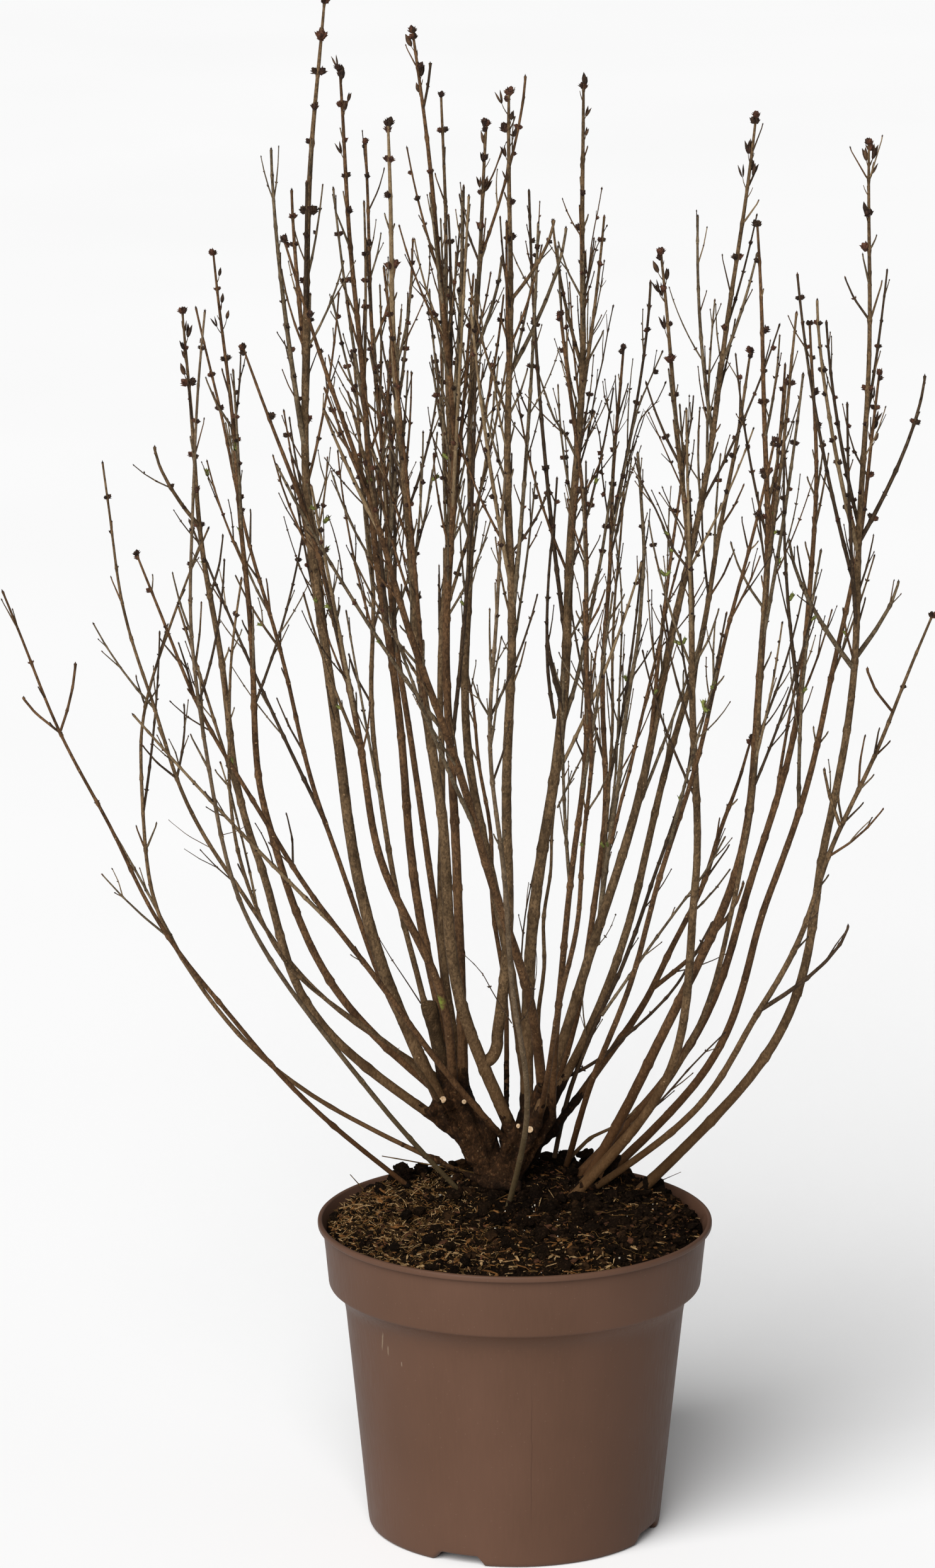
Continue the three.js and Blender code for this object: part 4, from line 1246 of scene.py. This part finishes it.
HAIRS = [  # points of dead roots and twigs that lie on the soil, and their girth
    (((-1, -30), (14, -58), (36, -88), (56, -122)), 0.35),
    (((52, -70), (70, -84), (96, -84), (118, -60)), 0.25),
    (((-70, -40), (-40, -62), (-8, -66), (20, -84)), 0.25),
    (((30, -20), (58, -26), (84, -12), (104, 10)), 0.3),
    (((-100, 20), (-80, -8), (-66, -30), (-62, -58)), 0.22),
    (((60, 10), (84, -8), (92, -40), (90, -72)), 0.22),
]
FALLEN = [  # ends of dead twigs that lean over the rim, and their girth
    ((-20, 44, 243), (-95, 84, 245), 0.75),
    ((-104, 62, 222), (-118, 84, 231), 0.6),
    ((96, 78, 224), (120, 74, 236), 0.4),
]

CLODS = [  # middle and size of the largest clods of peat
    ((36, 72, 247), 17), ((52, 86, 244), 15), ((24, 88, 242), 15), ((66, 74, 243), 13),
    ((44, 60, 245), 12), ((-80, 62, 238), 20), ((-66, 74, 238), 13), ((26, -24, 238), 16),
    ((44, -38, 236), 13), ((8, -52, 236), 12), ((84, 10, 237), 14),
]


def build_clods(material):
    rng = np.random.default_rng(8)
    shape = Shape()
    for middle, size in CLODS:
        points, faces = crumb_template(rng, 4)
        bumps = [noise.noise(Vector(p) * 3 + Vector(middle)) for p in points]
        points = unit(points) * (0.42 + 0.3 * np.array(bumps)[:, None])
        shape.add(points * size * (1, 0.8, 0.72) + middle, faces)
    return shape.build("peat_clods", [material])


def build_hairs(material):
    """Dead roots that wander over the soil, and fallen twigs."""
    shape = Shape()
    steps = np.linspace(0, 1, 34)
    for number, (points, girth) in enumerate(HAIRS):
        knots = np.linspace(0, 1, len(points))
        x, y = (through(knots, [point[axis] for point in points], steps) for axis in (0, 1))
        x, y = x + 1.6 * np.sin(steps * 21 + number), y + 1.3 * np.cos(steps * 17 + number)
        z = soil_heights(np.stack([x, y], -1)) + girth + 1.2 + 0.8 * np.sin(steps * 11 + number)
        track = np.stack([x, y, z], -1)

        def path(s, track=track):
            at = np.clip(s, 0, 1)
            ends = np.stack([np.interp(at, steps, track[:, axis]) for axis in range(3)], -1)
            return ends + (np.asarray(s) - at)[..., None] * (track[-1] - track[0])

        limb = Limb("soil", path, taper_to(girth, girth * 0.6), 100)
        add_tube(shape, limb, steps, 5, limb.girth(steps))
    steps = np.linspace(0, 1, 16)
    for number, (foot, tip, girth) in enumerate(FALLEN):
        limb = line_limb(foot, tip, girth, girth * 0.5)
        add_tube(shape, limb, steps, 6, bark_girth(limb, number, 11, steps, 6, 0.05))
    return shape.build("dead_roots", [material])


# ---- stool ----
VOXEL = 1.2
COLLAR = 26  # height over which a stem's foot narrows into the stem
STEM_FOOT = 9  # height above its foot at which a stem begins, inside its collar
FLARE = 0.12  # how much thicker a thick stem is at its foot
FLARE_REACH = 18
THICK = 3
CUTS = [  # middle of a pruned end, the way that it faces, its radius
    ((10.6, 6, 288), (0.1, -1, 0.35), 2.3),
    ((2.3, 8, 290), (-0.9, -1, 0.3), 1.6),
    ((-51, 9, 309), (-0.5, -0.9, 0.7), 2.5),
    ((-35.9, 14, 306), (0.2, -1, 0.3), 1.6),
    ((1.5, 12, 250), (0.1, -1, 0.3), 1.2),
]
SNAGS = [  # foot, top and girth of broken ends
    ((62, 45, 234), (75, 45, 257), 3.2),
    ((-20, 16, 336), (-29, 14, 345), 2.2),
    ((-52, 22, 298), (-60, 16, 299), 4.6),
]
STUB = 14  # length of the wood behind a pruned end
BRANCH = ("middle_11", 354, "middle_05", 336)  # a stem that leaves another, and their heights
BARK_LUMPS = ((15, 1.8), (6, 1.7), (2.6, 0.7))  # sizes and heights
BARK_RELIEF = ([262, 284, 330], [1, 0.4, 0.25])  # heights, and the share of the lumps there
CUT_SIDES = 16


def line_limb(foot, top, girth, top_girth):
    foot, top = np.array(foot, float), np.array(top, float)
    reach = float(np.linalg.norm(top - foot))
    return Limb("stool", lambda s: foot + (top - foot) * np.asarray(s)[..., None],
                taper_to(girth, top_girth), reach)


def flare(stem, heights):
    """How much thicker a stem is near its foot."""
    if stem.girth_at(0) < THICK:
        return np.ones(len(heights))
    return 1 + FLARE * np.exp(-np.maximum(heights - stem.at(0)[2], 0) / FLARE_REACH)


def inside_knob(point):
    return any(np.sum(((point - middle) / np.array(half)) ** 2) < 0.6 for middle, half in KNOBS)


def build_stool(stems, material):
    """The old foot: knobs, stumps, stubs and collars, melted into one skin and roughened."""
    shape = Shape()
    rng = np.random.default_rng(11)

    def add_line(foot, top, girth, top_girth, sides, profile):
        """A straight tube with girths in steps along it, each times its own share."""
        limb = line_limb(foot, top, girth, top_girth)
        shares = np.linspace(0, 1, len(profile))
        add_tube(shape, limb, shares, sides, limb.girth(shares) * profile)

    for middle, half in KNOBS:
        points, faces = crumb_template(rng, 3)
        points = unit(points) * (1 + 0.04 * rng.normal(size=(len(points), 1)))
        shape.add(points * half + middle, faces)
    shares = np.linspace(0, 1, 10)
    knobby = 0.88 + 0.1 * np.sin(shares * 9) + 0.12 * (shares > 0.85)
    for foot, top, girth in STUMPS:
        add_line(foot, top, girth, girth * STUMP_TAPER, 14, knobby)
    for foot, top, girth in SNAGS:
        add_line(foot, top, girth, girth, 10, np.array([1.2, 1, 0.9, 0.95, 0.75]))
    for middle, way, radius in CUTS:
        ahead = unit(np.array(way, float))
        add_line(middle - ahead * STUB, middle - ahead * (0.5 * radius + 0.3), radius, radius, 12,
                 np.array([1.5, 1.3, 1.1, 1.05, 1.15]))
    core = KNOBS[0][0]
    for stem in stems:
        foot = stem.at(0)
        if stem.owner == BRANCH[0]:
            continue
        if foot[2] <= SOIL_TOP:
            shares = np.linspace(-12, 9, 6) / stem.length
            add_tube(shape, stem, shares, 12, stem.girth(shares) * np.linspace(1.5, 0.86, 6))
            continue
        if not inside_knob(foot):
            wide = stem.girth_at(0) * flare(stem, foot[2:])[0]
            down = (*(foot[:2] + (core - foot)[:2] * FOOT_GATHER), SOIL_TOP + 14)
            limb = line_limb(down, foot + (0, 0, 2), wide, wide)
            add_tube(shape, limb, np.linspace(0, 1, 4), 12, np.linspace(1.5, 1.15, 4) * (wide + 0.3))
        shares = np.linspace(0, COLLAR / stem.length, 12)
        girth = (stem.girth(shares) + 0.3) * flare(stem, foot[2] + shares * stem.length)
        add_tube(shape, stem, shares, 14, girth * np.linspace(1.08, 0.8, 12))
    piece = shape.build("old_wood", [material])
    melt = piece.modifiers.new("melt", "REMESH")
    melt.mode = "VOXEL"
    melt.voxel_size = VOXEL * MM
    soften = piece.modifiers.new("soften", "SMOOTH")
    soften.factor = 0.5
    soften.iterations = 2
    apply_modifiers(piece)
    roughen(piece)
    return piece


def apply_modifiers(piece):
    graph = bpy.context.evaluated_depsgraph_get()
    done = bpy.data.meshes.new_from_object(piece.evaluated_get(graph))
    piece.modifiers.clear()
    piece.data = done


def roughen(piece):
    """Gives the bark its lumps: deep on the old foot, fading out where the stems leave it."""
    mesh = piece.data
    points, normals = np.empty((2, len(mesh.vertices) * 3))
    mesh.vertices.foreach_get("co", points)
    mesh.vertices.foreach_get("normal", normals)
    points, normals = points.reshape(-1, 3) / MM, normals.reshape(-1, 3)
    shift = sum(
        np.array([height * noise.noise(Vector(p) / size) for p in points])
        for size, height in BARK_LUMPS)
    points += normals * (shift * np.interp(points[:, 2], *BARK_RELIEF))[:, None]
    mesh.vertices.foreach_set("co", (points * MM).ravel())
    mesh.polygons.foreach_set("use_smooth", np.ones(len(mesh.polygons), bool))
    mesh.update()


def build_cuts(material):
    """The pale faces of the pruned ends, each with a raised rim."""
    shape = Shape()
    profile = [(-0.5, 1.02), (0.15, 1.02), (0.3, 0.93), (0.12, 0.6), (0.1, 0.2)]
    for middle, way, radius in CUTS:
        turned = basis(way, (0.3, 1, 0.2), 1.0, radius)
        points, faces = lathe_template(profile, CUT_SIDES)
        points = np.concatenate([points, [(0, 0, -0.5), (0, 0, 0.16)]]) @ turned.T + middle
        shape.add(points, np.concatenate([faces, end_caps(len(profile), CUT_SIDES)]))
    return shape.build("pruned_ends", [material])


# ---- stems and twigs ----
SIDES_THICK, SIDES_THIN, SIDES_TWIG, SIDES_SPRIG = 13, 9, 6, 4
ROUGH = 0.022


def branch_limb(stems):
    """The bend by which one stem leaves another."""
    named = {stem.owner: stem for stem in stems}
    upper, lower = named[BRANCH[0]], named[BRANCH[2]]
    share = (BRANCH[1] - upper.at(0)[2]) / upper.length
    foot = lower.at((BRANCH[3] - lower.at(0)[2]) / lower.length)
    points = np.stack([
        foot, foot + (7, 4, 3), upper.at(share) - (0, 0, 6), upper.at(share), upper.at(share + 0.02)])
    knots = [0, 0.34, 0.68, 0.86, 1]

    def path(s):
        return np.stack([through(knots, points[:, axis], s) for axis in range(3)], -1)

    girth = upper.girth_at(share)
    return Limb(upper.owner, path, taper_to(girth * 1.15, girth), 34), share


def build_wood(plant, materials):
    """The stems' lower lengths, and all that grows on: one piece of boughs, three of twigs."""
    boughs = Shape()
    twigs = {side: Shape() for side in SIDES}
    for index, stem in enumerate(plant.stems):
        foot = stem.at(0)[2]
        start = (-10 if foot <= SOIL_TOP else STEM_FOOT) / stem.length
        if stem.owner == BRANCH[0]:
            bend, start = branch_limb(plant.stems)
            shares = np.linspace(0, 1, 14)
            add_tube(boughs, bend, shares, SIDES_THICK, bend.girth(shares), tone_of(index))
        bough = STEMS[index][5]
        sides = SIDES_THICK if stem.girth_at(0) > THICK else SIDES_THIN
        shares = ring_shares(stem, NODE_SPACING, start, 1.0)
        if bough:
            shares = np.unique(np.append(shares, bough))
        girth = bark_girth(stem, index, NODE_SPACING, shares, sides, ROUGH)
        girth = girth * flare(stem, foot + shares * stem.length)[:, None]
        tone = WEATHERED if stem.owner in WEATHERED_STEMS else tone_of(index)
        upper = shares >= bough
        rest = twigs[stem.side]
        if bough:
            add_tube(boughs, stem, shares[shares <= bough], sides, girth[shares <= bough], tone)
        if stem.owner in PALE_TIPS:
            top = shares >= PALE_FROM
            add_tube(rest, stem, shares[top], sides, girth[top], PALE)
            upper &= shares <= shares[top][0]
        add_tube(rest, stem, shares[upper], sides, girth[upper], tone)
    for number, (twig, spacing) in enumerate(plant.twigs):
        sides = SIDES_TWIG if spacing == SPRIG_SPACING else SIDES_SPRIG
        shares = ring_shares(twig, spacing, 0.0, 1.0)
        girth = bark_girth(twig, number, spacing, shares, sides, ROUGH)
        add_tube(twigs[twig.side], twig, shares, sides, girth, tone_of(number, number))
    for stalk in plant.husks:
        shares = np.linspace(0, 1, 4)
        add_tube(twigs[stalk.side], stalk, shares, SIDES_SPRIG, stalk.girth(shares), BROWN)
    return (boughs.build("boughs", materials),
            {side: shape.build(f"sprays_{side}", materials) for side, shape in twigs.items()})


# ---- buds and fruit ----
def scale_wedge(turn, low, high, base, out, width):
    """One bud scale: a closed sliver from a bud's side up to its own point."""
    across = np.array([-math.sin(turn), math.cos(turn), 0])
    outward = np.array([math.cos(turn), math.sin(turn), 0])
    up = np.array([0, 0, 1.0])
    points = [
        outward * base * 0.6 + across * width + up * low,
        outward * base * 0.6 - across * width + up * low,
        outward * (base + 0.45 * out) + up * (low + 0.45 * (high - low)),
        outward * base * 0.4 + up * (low + 0.5 * (high - low)),
        outward * (base + out) + up * high]
    faces = [(0, 1, 3), (1, 0, 2), (0, 4, 2), (2, 4, 1), (1, 4, 3), (3, 4, 0)]
    return np.array(points), np.array(faces)


def bud_template(seed, pairs, belly, splay, blunt):
    """A scaly bud along +Z, one long: a core, and pairs of scales, each pair across the last."""
    draw = random_from(seed)
    core = [(-0.06, 0.1), (0.3, belly), (0.66, belly * (0.5 + 0.3 * blunt)), (1.0 - 0.1 * blunt, 0.005)]
    if blunt:
        core[1:1] = [(0.0, belly * 0.75)]
        core[-1:-1] = [(0.92 - 0.12 * blunt, belly * (0.1 + 0.35 * blunt))]
    parts = [lathe_template(core, 6 if blunt else 5)]
    for pair in range(pairs):
        for half in (0, 1):
            turn = pair * math.pi / 2 + half * math.pi + 0.3 * (draw() - 0.5)
            low = 0.04 + 0.5 * pair / pairs
            high = low + 0.34 + 0.16 * draw()
            out = splay * (0.5 + draw()) * (1 - 0.5 * pair / pairs)
            base = belly * (0.98 - 0.12 * pair / pairs)
            parts.append(scale_wedge(turn, low, high, base, out, belly * (0.75 + 0.2 * draw())))
    return joined(parts)


def green_template():
    """A breaking bud: two young leaf points above a dark cup."""
    core = [(-0.05, 0.08), (0.05, 0.2), (0.4, 0.2), (0.75, 0.1), (0.85, 0.01)]
    tips = [(0.0, 1.0), (math.pi, 1.0), (math.pi / 2, 0.8), (-math.pi / 2, 0.8)]
    return joined([
        lathe_template(core, 6), *(scale_wedge(turn, 0.15, high, 0.17, 0.12, 0.13) for turn, high in tips)])


def scar_template():
    """A low round leaf scar, which faces along +Z and is one in radius."""
    return lathe_template([(-0.5, 0.9), (0.25, 1.0), (0.42, 0.65), (0.3, 0.01)], 6)


def capsule_template():
    """A split seed pod along +Z, one long: two boat-shaped valves that part at their beaks."""
    stations = np.linspace(0, 1, 7)
    width = np.interp(stations, [0, 0.15, 0.45, 0.75, 1], [0.05, 0.16, 0.21, 0.13, 0.015])
    arc = np.linspace(-1, 1, 5)
    valves = []
    for half in (1, -1):
        apart = half * (0.02 + 0.2 * stations**2)
        rings = []
        for z, w, x in zip(stations, width, apart):
            outer = [(x + half * w * 0.75 * (1 - a * a), w * a, z) for a in arc]
            inner = [(x + half * w * 0.45 * (1 - a * a) - half * 0.012, w * a * 0.9, z) for a in arc[::-1]]
            rings.append(outer + inner)
        sides = len(rings[0])
        last = (len(stations) - 1) * sides
        faces = np.concatenate([
            halves(grid_faces(len(stations), sides)), [(0, i + 1, i) for i in range(1, sides - 1)],
            [(last, last + i, last + i + 1) for i in range(1, sides - 1)]])
        valves.append((np.array(rings).reshape(-1, 3), faces if half == 1 else faces[:, ::-1]))
    return joined(valves)


def plant_copies(rng, templates, rows, tones):
    """A shape with a copy of a template for each row of place, direction and length."""
    shape = Shape()
    places, ways, lengths = zip(*rows)
    hints = unit(rng.normal(size=(len(rows), 3)))
    bases = np.array([
        basis(way, hint, length, length) for way, hint, length in zip(ways, hints, lengths)])
    pick, shades = (rng.integers(0, most, len(rows)) for most in (len(templates), tones))
    scatter(shape, templates, pick, np.array(places), bases, shades)
    return shape


# ---- the scene ----
def add_camera():
    camera = place_in_scene("camera", bpy.data.cameras.new("camera"))
    camera.data.sensor_fit = "VERTICAL"
    camera.data.sensor_height = SENSOR
    camera.data.lens = LENS
    camera.data.clip_end = 100
    camera.location = [one * MM for one in CAMERA]
    camera.rotation_euler = (math.radians(90 - CAMERA_DOWN), 0, 0)
    bpy.context.scene.camera = camera


def add_studio():
    """A pale floor out past the view, an even sky, and a wide soft light from the front and left."""
    paint = Paint("studio_floor", 0.9, 0.1)
    tone = paint.patches(0.3, 0.7, 900, (1, 1, 1), 2)
    material = paint.done(paint.mix(tone, (246, 246, 246), (244, 244, 244)))
    shape = Shape()
    corners = [(-FLOOR_REACH, -FLOOR_REACH, 0), (FLOOR_REACH, -FLOOR_REACH, 0),
               (FLOOR_REACH, FLOOR_REACH, 0), (-FLOOR_REACH, FLOOR_REACH, 0)]
    shape.add(corners, [(0, 1, 2, 3)])
    shape.build("floor", [material], smooth=False)
    world = bpy.data.worlds.new("sky")
    bpy.context.scene.world = world
    world.use_nodes = True
    sky = world.node_tree.nodes["Background"]
    sky.inputs["Color"].default_value = (1, 1, 1, 1)
    sky.inputs["Strength"].default_value = SKY_STRENGTH
    key = place_in_scene("key", bpy.data.lights.new("key", "SUN"))
    key.data.energy = KEY_STRENGTH
    key.data.angle = math.radians(KEY_SPREAD)
    key.rotation_euler = [math.radians(angle) for angle in KEY_TURN]
    bpy.context.scene.view_settings.view_transform = "Standard"


BARKS = [  # main colour, dark streaks, pale pores, and the colour near the ground
    ("bark_brown", (108, 86, 61), (38, 28, 18), (144, 120, 88), (74, 50, 27)),
    ("bark_grey", (111, 95, 73), (43, 34, 24), (150, 130, 102), (76, 54, 32)),
    ("bark_russet", (102, 75, 50), (36, 24, 16), (140, 110, 78), (70, 45, 24)),
    ("bark_pale", (132, 112, 84), (86, 68, 48), (166, 144, 112), (76, 59, 40)),
    ("bark_weathered", (112, 94, 73), (60, 48, 35), (152, 134, 108), (74, 61, 38)),
    # a darker copy of the bark: painted shade, dealt out at random to shoots
    ("bark_painted_shade", (72, 57, 42), (34, 25, 18), (116, 96, 74), (56, 40, 25)),
]
GRAINS = [  # two colours, size of the grain, roughness, relief and specular
    ("bud_dark", (60, 40, 30), (33, 21, 15), 0.7, 0.65),
    ("bud_russet", (86, 55, 39), (48, 30, 22), 0.7, 0.65),
    ("bud_brown", (58, 42, 30), (34, 24, 17), 0.7, 0.7),
    ("bud_green", (116, 122, 58), (70, 72, 38), 0.9, 0.6),
    ("seed_pod", (82, 60, 42), (48, 34, 24), 0.9, 0.75),
    ("seed_pod_dark", (58, 42, 30), (33, 23, 17), 0.9, 0.75),
    ("leaf_scar", (140, 114, 84), (84, 64, 45), 0.6, 0.8),
    ("peat_brown", (48, 32, 18), (22, 14, 8), 1.1, 0.95, 0.1, 0.03),
    ("straw", (162, 133, 94), (104, 80, 50), 1.1, 0.85, 0.1, 0.06),
    ("straw_olive", (92, 68, 36), (50, 36, 19), 1.1, 0.85, 0.1, 0.05),
    ("chip_orange", (118, 80, 43), (68, 43, 22), 1.1, 0.85, 0.1, 0.06),
    ("chip_russet", (78, 49, 32), (40, 26, 18), 1.4, 0.85, 0.1, 0.05),
    ("grit_white", (206, 198, 182), (166, 156, 138), 1.0, 0.8),
]
grain_paints = {"peat": peat_material(), **{row[0]: grain_material(*row) for row in GRAINS}}


def grains(*names):
    return [grain_paints[name] for name in names]


def ride(piece, slot, *nodes):
    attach(piece, "root")
    if nodes:
        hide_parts(*nodes)


add_camera()
add_studio()
plant = Plant()
ride(build_pot(), "pot", "pot")
ride(build_soil(*grains("peat")), "soil", "soil")
for piece in build_litter():
    ride(piece, "soil")
ride(build_clods(*grains("peat")), "soil")
ride(build_hairs(*grains("straw_olive")), "soil")
ride(build_stool(plant.stems, stool_material()), "bark", "stool")
ride(build_cuts(cut_material()), "bark")

boughs, sprays = build_wood(plant, [bark_material(*row) for row in BARKS])
ride(boughs, "bark", *(f"bough_{row[0]}" for row in STEMS if row[5]))
rng = np.random.default_rng(3)
closed = [bud_template(seed, 2, 0.27, 0.1, 0) for seed in (1, 2, 3)]
rosettes = [bud_template(seed, 4, 0.36, 0.22, 0.8) for seed in (4, 5, 6, 7)]
for side, spray in sprays.items():
    ride(spray, "twigs", *(f"twigs_{row[0]}" for row in STEMS if row[0].startswith(side)))
    small = [row for row in plant.buds[side] if row[2] < LARGE_BUD]
    large = [row for row in plant.buds[side] if row[2] >= LARGE_BUD]
    ride(plant_copies(rng, closed, small, 3).build(
        f"small_buds_{side}", grains("bud_brown", "bud_dark", "bud_russet")), "twigs")
    ride(plant_copies(rng, rosettes, large, 3).build(
        f"large_buds_{side}", grains("bud_dark", "bud_russet", "bud_brown"), smooth=False), "twigs")
for name, template, rows, paints in (
        ("leaf_scars", scar_template(), plant.scars, grains("leaf_scar")),
        ("breaking_buds", green_template(), plant.greens, grains("bud_green")),
        ("seed_pods", capsule_template(), plant.capsules, grains("seed_pod", "seed_pod_dark"))):
    ride(plant_copies(rng, [template], rows, len(paints)).build(name, paints), "twigs")
